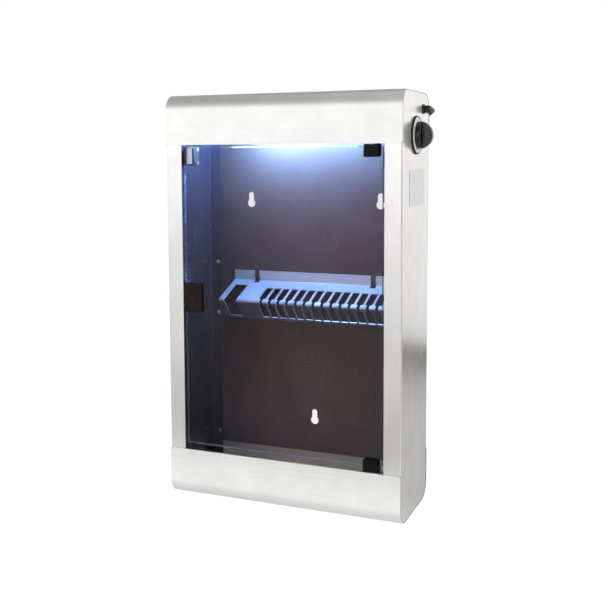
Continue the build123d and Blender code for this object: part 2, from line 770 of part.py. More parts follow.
# Door switch: its lever stands just behind the closed pane and presses the plunger.
lever_front_y = pane_rear_y + lever_clear
lever_rear_y = lever_front_y + lever_thickness
switch_front_y = lever_rear_y + switch_body_back
switch_rear_y = switch_front_y + switch_depth
switch_left_x = switch_right_x - switch_width
switch_mid_x = (switch_left_x + switch_right_x) / 2
switch_low_z = switch_high_z - switch_height
switch_mid_z = (switch_low_z + switch_high_z) / 2
lever_pivot_y = lever_front_y + lever_eye_radius
lever_pivot_z = switch_high_z - lever_eye_radius
plunger_z = lever_pivot_z - plunger_below_pivot
switch_screw_places = [
    (switch_rear_y - 2 * screw_head_radius, switch_mid_z + s * switch_screw_spacing / 2) for s in (-1, 1)
]
ear_x = (switch_left_x, switch_right_x - switch_ear_thickness)
with BuildPart() as switch_body:
    with BuildSketch(Plane.YZ.offset(switch_left_x)):
        with Locations(((switch_front_y + switch_rear_y) / 2, switch_mid_z)):
            Rectangle(switch_depth, switch_height)
    extrude(amount=switch_width)
    for x in ear_x:
        with BuildSketch(Plane.YZ.offset(x)):
            with Locations((lever_pivot_y, lever_pivot_z)):
                Circle(lever_eye_radius)
                Rectangle(
                    switch_front_y - lever_pivot_y,
                    2 * lever_eye_radius,
                    align=(Align.MIN, Align.CENTER),
                )
                Circle(lever_pin_radius + screw_gap, mode=Mode.SUBTRACT)
        extrude(amount=switch_ear_thickness)
    with BuildSketch(Plane.XZ.offset(-switch_front_y)):
        with Locations((switch_mid_x, plunger_z)):
            Circle(plunger_radius + pin_gap)
    extrude(amount=-plunger_bore_depth, mode=Mode.SUBTRACT)
    with BuildSketch(Plane.YZ.offset(switch_left_x)):
        with Locations(switch_screw_places):
            Circle(switch_screw_radius + screw_gap)
    extrude(amount=switch_width, mode=Mode.SUBTRACT)
switch_body.part.label = "switch_body"
export_step(switch_body.part, "parts/switch_body.step")

with BuildPart() as lever_pin:
    with BuildSketch(Plane.YZ.offset(switch_left_x)):
        with Locations((lever_pivot_y, lever_pivot_z)):
            Circle(lever_pin_radius)
    extrude(amount=switch_width)
lever_pin.part.label = "lever_pin"
export_step(lever_pin.part, "parts/lever_pin.step")

with BuildPart() as switch_lever:
    with BuildSketch(Plane.YZ.offset(switch_mid_x - lever_width / 2)):
        with Locations((lever_front_y, lever_pivot_z)):
            Rectangle(lever_thickness, lever_length, align=(Align.MIN, Align.MAX))
        with Locations((lever_pivot_y, lever_pivot_z)):
            Circle(lever_eye_radius)
            Circle(lever_pin_radius + pin_gap, mode=Mode.SUBTRACT)
    extrude(amount=lever_width)
switch_lever.part.label = "switch_lever"
export_step(switch_lever.part, "parts/switch_lever.step")

with BuildPart() as switch_plunger:
    with BuildSketch(Plane.XZ.offset(-(switch_front_y + plunger_buried))):
        with Locations((switch_mid_x, plunger_z)):
            Circle(plunger_radius)
    extrude(amount=plunger_buried + switch_front_y - lever_rear_y - panel_gap)
    chamfer(switch_plunger.faces().sort_by(Axis.Y)[0].edges(), plunger_radius / 3)
switch_plunger.part.label = "switch_plunger"
export_step(switch_plunger.part, "parts/switch_plunger.step")

with BuildPart() as switch_bracket:
    bracket_right_x = switch_left_x
    bracket_left_x = bracket_right_x - small_bracket_sheet
    turn_y = switch_rear_y
    with BuildSketch(Plane.XY.offset(switch_low_z)):
        with BuildLine():
            Polyline(
                (bracket_right_x, switch_front_y),
                (bracket_right_x, turn_y + small_bracket_sheet),
                (-inner_x + small_bracket_sheet, turn_y + small_bracket_sheet),
                (-inner_x + small_bracket_sheet, turn_y + wall_leg),
                (-inner_x, turn_y + wall_leg),
                (-inner_x, turn_y),
                (bracket_left_x, turn_y),
                (bracket_left_x, switch_front_y),
                close=True,
            )
        make_face()
    extrude(amount=switch_height)
    with BuildSketch(Plane.YZ.offset(bracket_left_x)):
        with Locations(switch_screw_places):
            Circle(switch_screw_radius + screw_gap)
    extrude(amount=small_bracket_sheet, mode=Mode.SUBTRACT)
switch_bracket.part.label = "switch_bracket"
export_step(switch_bracket.part, "parts/switch_bracket.step")

with BuildPart() as switch_screws:
    with BuildSketch(Plane.YZ.offset(switch_right_x)):
        with Locations(switch_screw_places):
            Circle(screw_head_radius)
    extrude(amount=screw_head_height)
    with BuildSketch(Plane.YZ.offset(bracket_left_x)):
        with Locations(switch_screw_places):
            Circle(switch_screw_radius)
    extrude(amount=switch_width + small_bracket_sheet)
switch_screws.part.label = "switch_screws"
export_step(switch_screws.part, "parts/switch_screws.step")

# Bumper: a small soft strip behind the right stile's edge, beside the pane.
with BuildPart() as edge_bumper:
    with BuildSketch(Plane.XZ.offset(-(stile_y + sheet + bumper_thickness))):
        with Locations((window_half_width - bumper_proud, bumper_low_z)):
            Rectangle(bumper_width, bumper_length, align=(Align.MIN, Align.MIN))
    extrude(amount=bumper_thickness)
    fillet(edge_bumper.edges().filter_by(Axis.Y), bumper_thickness / 2)
edge_bumper.part.label = "edge_bumper"
export_step(edge_bumper.part, "parts/edge_bumper.step")

# Timer: clockwork body inside the right panel, gasket, dial plate and knob outside it.
timer_rear_x = inner_x - timer_body_depth
timer_tab_y = (timer_y - timer_body_size / 4, timer_y + timer_body_size / 4)
with BuildPart() as timer_body:
    with BuildSketch(Plane.YZ.offset(timer_rear_x)):
        with Locations((timer_y, timer_z)):
            RectangleRounded(timer_body_size, timer_body_size, bend_outer_radius)
    extrude(amount=timer_body_depth)
    with BuildSketch(Plane.YZ.offset(inner_x)):
        with Locations((timer_y, timer_z)):
            Circle(timer_bush_radius)
    extrude(amount=sheet)
    with BuildSketch(Plane.YZ.offset(timer_rear_x + timer_body_depth / 2)):
        with Locations((timer_y, timer_z)):
            Circle(timer_shaft_radius + timer_shaft_gap)
    extrude(amount=timer_body_depth / 2 + sheet, mode=Mode.SUBTRACT)
    with BuildSketch(Plane.YZ.offset(inner_x)):
        with Locations([(y, timer_z) for y in timer_holes]):
            Circle(timer_screw_radius + screw_gap)
    extrude(amount=-timer_body_depth / 2, mode=Mode.SUBTRACT)
    with BuildSketch(Plane.YZ.offset(timer_rear_x)):
        with Locations([(y, timer_z) for y in timer_tab_y]):
            Rectangle(timer_tab_sheet, timer_tab_width)
    extrude(amount=-timer_tab_length)
timer_body.part.label = "timer_body"
export_step(timer_body.part, "parts/timer_body.step")

with BuildPart() as timer_screws:
    with BuildSketch(Plane.YZ.offset(half_width)):
        with Locations([(y, timer_z) for y in timer_holes]):
            Circle(timer_screw_radius)
    extrude(amount=-(sheet + timer_body_depth / 2))
    with BuildSketch(Plane.YZ.offset(half_width)):
        with Locations([(y, timer_z) for y in timer_holes]):
            Circle(2 * timer_screw_radius)
    extrude(amount=gasket_thickness)
timer_screws.part.label = "timer_screws"
export_step(timer_screws.part, "parts/timer_screws.step")

with BuildPart() as timer_gasket:
    with BuildSketch(Plane.YZ.offset(half_width)):
        with Locations((timer_y, timer_z)):
            Circle(gasket_radius)
            Circle(timer_bush_radius + rivet_hole_gap, mode=Mode.SUBTRACT)
        with Locations([(y, timer_z) for y in timer_holes]):
            Circle(2 * timer_screw_radius + rivet_hole_gap, mode=Mode.SUBTRACT)
    extrude(amount=gasket_thickness)
timer_gasket.part.label = "timer_gasket"
export_step(timer_gasket.part, "parts/timer_gasket.step")

dial_x = half_width + gasket_thickness
with BuildPart() as timer_dial:
    with BuildSketch(Plane.YZ.offset(dial_x)):
        with Locations((timer_y, timer_z)):
            Circle(dial_radius)
            Circle(timer_bush_radius + rivet_hole_gap, mode=Mode.SUBTRACT)
    extrude(amount=dial_thickness)
    chamfer(timer_dial.faces().sort_by(Axis.X)[-1].edges().sort_by(SortBy.RADIUS)[-1], dial_thickness / 3)
timer_dial.part.label = "timer_dial"
export_step(timer_dial.part, "parts/timer_dial.step")

knob_x = dial_x + dial_thickness + knob_gap
with BuildPart() as timer_knob:
    with BuildSketch(Plane.XY.offset(timer_z)):
        with Locations((knob_x + knob_rim, timer_y)):
            Ellipse(knob_height - knob_rim, knob_radius)
            Rectangle(knob_rim, 2 * knob_radius, align=(Align.MAX, Align.CENTER))
        with Locations((knob_x, timer_y)):
            Rectangle(knob_height, knob_radius, align=(Align.MIN, Align.MIN), mode=Mode.INTERSECT)
    revolve(axis=Axis((knob_x, timer_y, timer_z), (1, 0, 0)))
    with BuildSketch(Plane.YZ.offset(knob_x + knob_skirt)):
        with Locations((timer_y, timer_z)):
            Rectangle(3 * knob_radius, 3 * knob_radius)
            Rectangle(knob_grip_width, 3 * knob_radius, mode=Mode.SUBTRACT)
    extrude(amount=knob_height, mode=Mode.SUBTRACT)
    grip_edges = timer_knob.edges().filter_by(
        lambda e: e.center().X > knob_x + knob_skirt + knob_rim
        and abs(abs(e.center().Y - timer_y) - knob_grip_width / 2) < knob_gap
    )
    fillet(grip_edges, knob_rim)
    with BuildSketch(Plane.YZ.offset(knob_x)):
        with Locations((timer_y, timer_z)):
            Circle(knob_radius - knob_wall)
            Circle(timer_shaft_radius + knob_wall, mode=Mode.SUBTRACT)
    extrude(amount=knob_skirt - knob_wall, mode=Mode.SUBTRACT)
    with BuildSketch(Plane.YZ.offset(knob_x)):
        with Locations((timer_y, timer_z)):
            Circle(timer_shaft_radius + timer_shaft_gap)
    extrude(amount=knob_height - 2 * knob_wall, mode=Mode.SUBTRACT)
timer_knob.part.label = "timer_knob"
export_step(timer_knob.part, "parts/timer_knob.step")

with BuildPart() as timer_shaft:
    with BuildSketch(Plane.YZ.offset(timer_rear_x + timer_body_depth / 2)):
        with Locations((timer_y, timer_z)):
            Circle(timer_shaft_radius)
    extrude(amount=knob_x + knob_height - 2 * knob_wall - timer_rear_x - timer_body_depth / 2)
timer_shaft.part.label = "timer_shaft"
export_step(timer_shaft.part, "parts/timer_shaft.step")

# Lamp tray: folded sheet hung from the top cover's welded studs.
tray_top_z = tray_z + tray_sheet
lamp_half = lamp_length / 2
holder_inner_x = lamp_half + holder_gap
holder_outer_x = holder_inner_x + holder_thickness
holder_screw_x = holder_outer_x + holder_foot / 2
ballast_screw_x = [ballast_x + s * (ballast_length + ballast_ear) / 2 for s in (-1, 1)]
gear_screw_places = (
    [(s * holder_screw_x, lamp_y) for s in (-1, 1)]
    + [(x, ballast_y) for x in ballast_screw_x]
    + [(block_x, block_y + s * block_width / 4) for s in (-1, 1)]
)
wire_hole_places = [(s * (holder_screw_x + holder_foot), lamp_y) for s in (-1, 1)]
with BuildPart() as lamp_tray:
    with BuildSketch(Plane.YZ.offset(-tray_width / 2)):
        with BuildLine():
            Polyline(
                (-tray_depth / 2, tray_top_z),
                (tray_depth / 2, tray_top_z),
                (tray_depth / 2, tray_top_z - tray_flange),
                (tray_depth / 2 - tray_sheet, tray_top_z - tray_flange),
                (tray_depth / 2 - tray_sheet, tray_z),
                (tray_sheet - tray_depth / 2, tray_z),
                (tray_sheet - tray_depth / 2, tray_top_z - tray_flange),
                (-tray_depth / 2, tray_top_z - tray_flange),
                close=True,
            )
        make_face()
    extrude(amount=tray_width)
    with BuildSketch(Plane.XY.offset(tray_top_z)):
        with Locations(stud_places):
            Circle(stud_radius + rivet_hole_gap)
        with Locations(gear_screw_places + [(earth_x, earth_y)]):
            Circle(holder_screw_radius + screw_gap)
        with Locations(wire_hole_places):
            Circle(3 * wire_radius)
    extrude(amount=-tray_sheet, mode=Mode.SUBTRACT)
lamp_tray.part.label = "lamp_tray"
export_step(lamp_tray.part, "parts/lamp_tray.step")

with BuildPart() as tray_nuts:
    with BuildSketch(Plane.XY.offset(tray_z)):
        with Locations(stud_places):
            RegularPolygon(nut_across / 2, 6, major_radius=False)
            Circle(stud_radius + screw_gap, mode=Mode.SUBTRACT)
    extrude(amount=-nut_height)
    with BuildSketch(Plane.XY.offset(tray_top_z)):
        with Locations(stud_places):
            RegularPolygon(nut_across / 2, 6, major_radius=False)
            Circle(stud_radius + screw_gap, mode=Mode.SUBTRACT)
    extrude(amount=nut_height)
tray_nuts.part.label = "tray_nuts"
export_step(tray_nuts.part, "parts/tray_nuts.step")

# Lamp: a germicidal tube with a pin cap at each end.
with BuildPart() as lamp_tube:
    with BuildSketch(Plane.YZ.offset(lamp_cap_wall - lamp_half)):
        with Locations((lamp_y, lamp_z)):
            Circle(lamp_radius - lamp_cap_wall - panel_gap)
            Circle(lamp_radius - lamp_cap_wall - lamp_wall, mode=Mode.SUBTRACT)
    extrude(amount=lamp_length - 2 * lamp_cap_wall)
lamp_tube.part.label = "lamp_tube"
export_step(lamp_tube.part, "parts/lamp_tube.step")

with BuildPart() as lamp_caps:
    for s in (-1, 1):
        with BuildSketch(Plane.YZ.offset(s * lamp_half)):
            with Locations((lamp_y, lamp_z)):
                Circle(lamp_radius)
        extrude(amount=-s * lamp_cap_length)
        with BuildSketch(Plane.YZ.offset(s * (lamp_half - lamp_cap_wall))):
            with Locations((lamp_y, lamp_z)):
                Circle(lamp_radius - lamp_cap_wall)
        extrude(amount=-s * lamp_cap_length, mode=Mode.SUBTRACT)
        with BuildSketch(Plane.YZ.offset(s * lamp_half)):
            with Locations([(lamp_y, lamp_z + p * lamp_pin_spacing / 2) for p in (-1, 1)]):
                Circle(lamp_pin_radius)
        extrude(amount=s * lamp_pin_length)
lamp_caps.part.label = "lamp_caps"
export_step(lamp_caps.part, "parts/lamp_caps.step")

for side, s in (("left", -1), ("right", 1)):
    with BuildPart() as lampholder:
        with BuildSketch(Plane.YZ.offset(s * holder_inner_x)):
            with Locations((lamp_y, lamp_z - holder_below_axis)):
                Rectangle(
                    holder_width, tray_z - lamp_z + holder_below_axis, align=(Align.CENTER, Align.MIN)
                )
        extrude(amount=s * holder_thickness)
        fillet(lampholder.edges().filter_by(Axis.X).group_by(Axis.Z)[0], holder_width / 3)
        with BuildSketch(Plane.YZ.offset(s * holder_outer_x)):
            with Locations((lamp_y, tray_z)):
                Rectangle(holder_width, holder_foot_height, align=(Align.CENTER, Align.MAX))
        extrude(amount=s * holder_foot)
        with BuildSketch(Plane.YZ.offset(s * holder_inner_x)):
            with Locations((lamp_y, lamp_z)):
                Circle(holder_pocket_radius)
        extrude(amount=s * holder_pocket_depth, mode=Mode.SUBTRACT)
        with BuildSketch(Plane.XY.offset(tray_z)):
            with Locations((s * holder_screw_x, lamp_y)):
                Circle(holder_screw_radius + screw_gap)
        extrude(amount=-holder_foot_height, mode=Mode.SUBTRACT)
    lampholder.part.label = f"{side}_lampholder"
    export_step(lampholder.part, f"parts/{side}_lampholder.step")

# Ballast and terminal block on the tray, and the screws that hold all the gear.
with BuildPart() as ballast:
    with BuildSketch(Plane.XY.offset(tray_top_z)):
        with Locations((ballast_x, ballast_y)):
            Rectangle(ballast_length, ballast_width)
    extrude(amount=ballast_height)
    fillet(ballast.edges().group_by(Axis.Z)[-1], bend_outer_radius)
    with BuildSketch(Plane.XY.offset(tray_top_z)):
        with Locations((ballast_x, ballast_y)):
            Rectangle(ballast_length + 2 * ballast_ear, ballast_width / 2)
    extrude(amount=ballast_ear_height)
    with BuildSketch(Plane.XY.offset(tray_top_z)):
        with Locations([(x, ballast_y) for x in ballast_screw_x]):
            Circle(holder_screw_radius + screw_gap)
    extrude(amount=ballast_ear_height, mode=Mode.SUBTRACT)
ballast.part.label = "ballast"
export_step(ballast.part, "parts/ballast.step")

way_pitch = block_width / block_ways
way_y = [block_y + (i - (block_ways - 1) / 2) * way_pitch for i in range(block_ways)]
block_top_z = tray_top_z + block_height
wire_entry_z = tray_top_z + block_height / 3
with BuildPart() as terminal_block:
    with BuildSketch(Plane.XY.offset(tray_top_z)):
        with Locations((block_x, block_y)):
            Rectangle(block_length, block_width)
    extrude(amount=block_height)
    for y in way_y:
        with BuildSketch(Plane.XY.offset(block_top_z)):
            with Locations([(block_x + s * block_length / 4, y) for s in (-1, 1)]):
                Circle(block_screw_radius)
        extrude(amount=-block_height / 3, mode=Mode.SUBTRACT)
    with BuildSketch(Plane.XY.offset(tray_top_z)):
        with Locations([(block_x, block_y + s * block_width / 4) for s in (-1, 1)]):
            Circle(holder_screw_radius + screw_gap)
    extrude(amount=block_height / 2, mode=Mode.SUBTRACT)
terminal_block.part.label = "terminal_block"
export_step(terminal_block.part, "parts/terminal_block.step")

with BuildPart() as gear_screws:
    for (x, y), head_z, tip_z, up in (
        [(place, tray_z - holder_foot_height, tray_top_z, 1) for place in gear_screw_places[:2]]
        + [(place, tray_top_z + ballast_ear_height, tray_z, -1) for place in gear_screw_places[2:4]]
        + [(place, tray_z, tray_top_z + block_height / 2, 1) for place in gear_screw_places[4:]]
    ):
        with BuildSketch(Plane.XY.offset(head_z)):
            with Locations((x, y)):
                Circle(holder_screw_radius)
        extrude(amount=tip_z - head_z)
        with BuildSketch(Plane.XY.offset(head_z)):
            with Locations((x, y)):
                Circle(screw_head_radius)
        extrude(amount=-up * screw_head_height)
gear_screws.part.label = "gear_screws"
export_step(gear_screws.part, "parts/gear_screws.step")

with BuildPart() as earth_stud:
    with BuildSketch(Plane.XY.offset(tray_z)):
        with Locations((earth_x, earth_y)):
            Circle(holder_screw_radius)
    extrude(amount=earth_stud_height)
    with BuildSketch(Plane.XY.offset(tray_z)):
        with Locations((earth_x, earth_y)):
            RegularPolygon(nut_across / 2, 6, major_radius=False)
    extrude(amount=-nut_height)
    with BuildSketch(Plane.XY.offset(tray_top_z)):
        with Locations((earth_x, earth_y)):
            RegularPolygon(nut_across / 2, 6, major_radius=False)
    extrude(amount=nut_height)
earth_stud.part.label = "earth_stud"
export_step(earth_stud.part, "parts/earth_stud.step")

# Plain plate on the right side, where a rating label sits on the real cabinet.
with BuildPart() as side_plate:
    with BuildSketch(Plane.YZ.offset(half_width)):
        with Locations((plate_y, plate_z)):
            RectangleRounded(plate_width, plate_height, plate_corner_radius)
    extrude(amount=plate_thickness)
side_plate.part.label = "side_plate"
export_step(side_plate.part, "parts/side_plate.step")

# Strain relief: flange, neck through the panel and a sleeve that points to the rear.
relief_axis_x = half_width + relief_out
relief_inner_x = inner_x - relief_nut_height - sheet
relief_exit_y = relief_y + relief_length
with BuildPart() as strain_relief:
    with BuildSketch(Plane.YZ.offset(half_width)):
        with Locations((relief_y, relief_z)):
            Circle(relief_flange_radius)
    extrude(amount=relief_flange_thickness)
    with BuildSketch(Plane.YZ.offset(relief_inner_x)):
        with Locations((relief_y, relief_z)):
            Circle(relief_neck_radius)
    extrude(amount=half_width - relief_inner_x)
    with BuildSketch(Plane.YZ.offset(half_width)):
        with Locations((relief_y, relief_z)):
            Circle(relief_root_radius)
    extrude(amount=relief_out)
    with Locations((relief_axis_x, relief_y, relief_z)):
        Sphere(relief_root_radius)
    with BuildSketch(Plane.XZ.offset(-relief_y)):
        with Locations((relief_axis_x, relief_z)):
            Circle(relief_root_radius)
    with BuildSketch(Plane.XZ.offset(-relief_exit_y)):
        with Locations((relief_axis_x, relief_z)):
            Circle(relief_tip_radius)
    loft()
strain_relief.part.label = "strain_relief"
export_step(strain_relief.part, "parts/strain_relief.step")

with BuildPart() as relief_nut:
    with BuildSketch(Plane.YZ.offset(inner_x)):
        with Locations((relief_y, relief_z)):
            RegularPolygon(relief_nut_across / 2, 6, major_radius=False)
            Circle(relief_neck_radius + relief_neck_gap, mode=Mode.SUBTRACT)
    extrude(amount=-relief_nut_height)
relief_nut.part.label = "relief_nut"
export_step(relief_nut.part, "parts/relief_nut.step")


def bend_radii(points):
    """Arc radius at each inner point: 0.45 of the shorter run over the tangent of half the turn."""
    radii = []
    for before, here, after in zip(points, points[1:], points[2:]):
        run_in = Vector(here) - Vector(before)
        run_out = Vector(after) - Vector(here)
        turn = run_in.get_angle(run_out)
        radii.append(0.45 * min(run_in.length, run_out.length) / tan(radians(turn / 2)))
    return radii


def second_arc_start(start, start_way, end, end_way):
    """Where two tangent arcs meet that lead from start to end, leaving and arriving along the ways."""
    chord = Vector(end) - Vector(start)
    ways = start_way + end_way
    spread = 2 * (1 - start_way.dot(end_way))
    reach = (sqrt(chord.dot(ways) ** 2 + spread * chord.dot(chord)) - chord.dot(ways)) / spread
    return (Vector(start) + Vector(end) + (start_way - end_way) * reach) / 2


# Coil: the cord's unused length in two layers, spiralling in below and out again above.
coil_low_z = cord_radius + tie_gap + tie_sheet
coil_high_z = coil_low_z + coil_pitch
coil_outer_radius = coil_mid_radius + coil_half_turns * coil_pitch / 4
coil_inner_radius = coil_mid_radius - coil_half_turns * coil_pitch / 4
coil_start_angle = 90.0


def coil_stop(count):
    """Point and heading after a number of half turns: down in radius, up a layer, out again."""
    angle = radians(coil_start_angle + 180 * count)
    steps_in = count if count <= coil_half_turns else 2 * coil_half_turns + 1 - count
    radius = coil_outer_radius - steps_in * coil_pitch / 2
    z = coil_low_z if count <= coil_half_turns else coil_high_z
    return Vector(coil_x + radius * cos(angle), coil_y + radius * sin(angle), z), Vector(-sin(angle), cos(angle), 0)


stops = [coil_stop(count) for count in range(2 * coil_half_turns + 2)]
with BuildPart() as cord_coil:
    with BuildLine() as coil_path:
        for (start, start_way), (end, end_way) in zip(stops, stops[1:]):
            middle = second_arc_start(start, start_way, end, end_way)
            first_arc = TangentArc(start, middle, tangent=start_way)
            TangentArc(middle, end, tangent=first_arc % 1)
    with BuildSketch(Plane(origin=stops[0][0], z_dir=stops[0][1])):
        Circle(cord_radius)
    sweep(path=coil_path.wires()[0])
cord_coil.part.label = "cord_coil"
export_step(cord_coil.part, "parts/cord_coil.step")

coil_wire = coil_path.wires()[0]
coil_samples = [coil_wire @ (i / 900) for i in range(901)]
least_gap = min(
    (coil_samples[i] - coil_samples[j]).length
    for i in range(0, 901, 3)
    for j in range(i + 60, 901, 3)
) - 2 * cord_radius
print("coil length", round(coil_wire.length, 1), "least gap to itself", round(least_gap, 2))

# Power cord: out of the strain relief, round the rear corner, down the back to the coil.
coil_entry = stops[0][0]
cord_points = [
    (relief_axis_x, relief_exit_y, relief_z),
    (relief_axis_x, rear_y - 4.0, relief_z),
    (relief_axis_x - 4.6, rear_y + 9.0, relief_z - 1.5),
    (relief_axis_x - 14.6, rear_y + 20.0, relief_z - 5.5),
    (relief_axis_x - 27.6, rear_y + 26.5, relief_z - 13.5),
    (relief_axis_x - 38.1, rear_y + 29.0, relief_z - 25.5),
    (relief_axis_x - 43.6, rear_y + 29.5, relief_z - 44.5),
    (relief_axis_x - 45.6, rear_y + 29.5, relief_z - 76.5),
    (140.0, 99.0, 440.0),
    (139.5, 99.0, 370.0),
    (139.0, 99.5, 300.0),
    (138.5, 100.0, 240.0),
    (136.0, 99.0, 180.0),
    (130.0, 103.5, 118.0),
    (120.0, 112.0, 70.0),
    (106.0, 125.0, 35.0),
    (86.0, 142.0, 13.0),
    (60.0, 160.0, 4.5),
    (30.0, 174.0, 4.0),
    (-6.0, coil_entry.Y, coil_low_z),
    tuple(coil_entry),
]
cord_radii = bend_radii(cord_points)
print("cord radii", [round(r, 1) for r in cord_radii])
with BuildPart() as power_cord:
    with BuildLine() as cord_path:
        FilletPolyline(*cord_points, radius=cord_radii)
    with BuildSketch(Plane(origin=cord_points[0], z_dir=cord_path.line % 0)):
        Circle(cord_radius)
    sweep(path=cord_path.wires()[0])
power_cord.part.label = "power_cord"
export_step(power_cord.part, "parts/power_cord.step")
print("cord length", round(cord_path.wires()[0].length, 1))

# The last stretch, from the coil's upper layer to the plug that lies beside it.
coil_exit = stops[-1][0]
plug_z = plug_body_radius + panel_gap
plug_tail_x = plug_x - plug_relief_length
plug_lead_points = [
    tuple(coil_exit),
    (-12.0, coil_exit.Y, coil_high_z),
    (18.0, plug_y, plug_z),
    (plug_tail_x, plug_y, plug_z),
]
plug_lead_radii = bend_radii(plug_lead_points)
print("plug lead radii", [round(r, 1) for r in plug_lead_radii])
with BuildPart() as plug_lead:
    with BuildLine() as plug_lead_path:
        FilletPolyline(*plug_lead_points, radius=plug_lead_radii)
    with BuildSketch(Plane(origin=plug_lead_points[0], z_dir=plug_lead_path.line % 0)):
        Circle(cord_radius)
    sweep(path=plug_lead_path.wires()[0])
plug_lead.part.label = "plug_lead"
export_step(plug_lead.part, "parts/plug_lead.step")
print("plug lead length", round(plug_lead_path.wires()[0].length, 1))
print("volume over section times length:")
for cord, path in ((power_cord, cord_path), (cord_coil, coil_path), (plug_lead, plug_lead_path)):
    print(cord.part.label, round(cord.part.volume / (pi * cord_radius**2 * path.wires()[0].length), 4))

# Tie round the coil's turns.
tie_reach = cord_radius + tie_gap + tie_sheet
tie_inner_x = coil_x + coil_inner_radius + coil_pitch / 4 - tie_reach
tie_outer_x = coil_x + coil_outer_radius - 3 * coil_pitch / 4 + tie_reach
tie_top_z = coil_high_z + tie_reach
with BuildPart() as cord_tie:
    with BuildSketch(Plane.XZ.offset(-(coil_y + tie_width / 2))):
        with Locations(((tie_inner_x + tie_outer_x) / 2, tie_top_z / 2)):
            RectangleRounded(tie_outer_x - tie_inner_x, tie_top_z, cord_radius)
            RectangleRounded(
                tie_outer_x - tie_inner_x - 2 * tie_sheet,
                tie_top_z - 2 * tie_sheet,
                cord_radius - tie_sheet,
                mode=Mode.SUBTRACT,
            )
    extrude(amount=tie_width)
cord_tie.part.label = "cord_tie"
export_step(cord_tie.part, "parts/cord_tie.step")

# Plug: a moulded round body with two pins, lying on its side.
plug_front_x = plug_x + plug_body_length
with BuildPart() as plug:
    with BuildSketch(Plane.XZ.offset(-plug_y)):
        with BuildLine():
            Polyline(
                (plug_tail_x, plug_z),
                (plug_tail_x, plug_z + relief_tip_radius),
                (plug_x, plug_z + relief_root_radius + 1),
                (plug_x + plug_body_length / 3, plug_z + plug_nose_radius),
                (plug_x + plug_body_length / 2, plug_z + plug_body_radius),
                (plug_front_x, plug_z + plug_body_radius),
                (plug_front_x, plug_z),
                close=True,
            )
        make_face()
    revolve(axis=Axis((plug_x, plug_y, plug_z), (1, 0, 0)))
plug.part.label = "plug"
export_step(plug.part, "parts/plug.step")

with BuildPart() as plug_pins:
    with BuildSketch(Plane.YZ.offset(plug_front_x)):
        with Locations([(plug_y + s * plug_pin_spacing / 2, plug_z) for s in (-1, 1)]):
            Circle(plug_pin_radius)
    extrude(amount=plug_pin_length)
    chamfer(plug_pins.faces().group_by(Axis.X)[-1].edges(), plug_pin_radius / 3)
plug_pins.part.label = "plug_pins"
export_step(plug_pins.part, "parts/plug_pins.step")

# Wiring: the supply lead to the terminal block, then single wires to the gear.
block_right_x = block_x + block_length / 2
block_left_x = block_x - block_length / 2
with BuildPart() as supply_lead:
    with BuildLine() as supply_path:
        FilletPolyline(
            (relief_inner_x, relief_y, relief_z),
            (relief_inner_x - supply_run_in, relief_y, relief_z),
            (block_right_x + supply_run_out, block_y + supply_bend, wire_entry_z + supply_rise),
            (block_right_x, block_y + supply_bend, wire_entry_z + supply_rise),
            radius=supply_bend,
        )
    with BuildSketch(Plane(origin=supply_path.line @ 0, z_dir=supply_path.line % 0)):
        Circle(supply_radius)
    sweep(path=supply_path.wires()[0])
supply_lead.part.label = "supply_lead"
export_step(supply_lead.part, "parts/supply_lead.step")

ballast_right_x = ballast_x + ballast_length / 2
ballast_left_x = ballast_x - ballast_length / 2
gear_wire_z = tray_top_z + ballast_height / 2
holder_top_x = holder_screw_x + holder_foot
wire_routes = [
    [
        (block_left_x, way_y[1], wire_entry_z),
        (block_left_x - wire_run_short, way_y[1], wire_entry_z),
        (ballast_right_x + wire_run, ballast_y + 6, gear_wire_z),
        (ballast_right_x, ballast_y + 6, gear_wire_z),
    ],
    [
        (block_left_x, way_y[0], wire_entry_z),
        (block_left_x - wire_run, way_y[0], wire_entry_z),
        (ballast_right_x + wire_run_short, ballast_y, gear_wire_z),
        (ballast_right_x, ballast_y, gear_wire_z),
    ],
    [
        (ballast_left_x, ballast_y + 5, gear_wire_z),
        (ballast_left_x - wire_run, ballast_y + 5, gear_wire_z),
        (-holder_top_x, lamp_y, gear_wire_z),
        (-holder_top_x, lamp_y, lamp_z + 6),
        (-holder_outer_x, lamp_y, lamp_z + 6),
    ],
    [
        (ballast_right_x, ballast_y - 8, gear_wire_z),
        (ballast_right_x + wire_run_long, ballast_y - 8, gear_wire_z),
        (block_left_x, ballast_y - 10, gear_wire_z),
        (holder_top_x, ballast_y - 8, gear_wire_z),
        (holder_top_x, lamp_y, gear_wire_z - 3),
        (holder_top_x, lamp_y, lamp_z + 6),
        (holder_outer_x, lamp_y, lamp_z + 6),
    ],
    [
        (timer_rear_x - timer_tab_length, timer_tab_y[0], timer_z),
        (timer_rear_x - 2 * timer_tab_length, timer_tab_y[0], timer_z),
        (timer_rear_x - 2 * timer_tab_length, timer_tab_y[0], timer_z + timer_body_size / 2),
        (tray_width / 2 + 6, timer_tab_y[0], tray_z - 3),
        (tray_width / 2 + 6, timer_tab_y[0], tray_top_z + 20),
        (block_right_x + 20, way_y[0], tray_top_z + 14),
        (block_right_x + 10, way_y[0], wire_entry_z),
        (block_right_x, way_y[0], wire_entry_z),
    ],
    [
        (block_left_x, way_y[3], wire_entry_z),
        (block_left_x - 12, way_y[3], wire_entry_z),
        (block_left_x - 14, way_y[3] + 14, tray_top_z + nut_height / 2),
        (earth_x, way_y[3] + 14, tray_top_z + nut_height / 2),
        (earth_x, earth_y + nut_across / 2, tray_top_z + nut_height / 2),
    ],
]
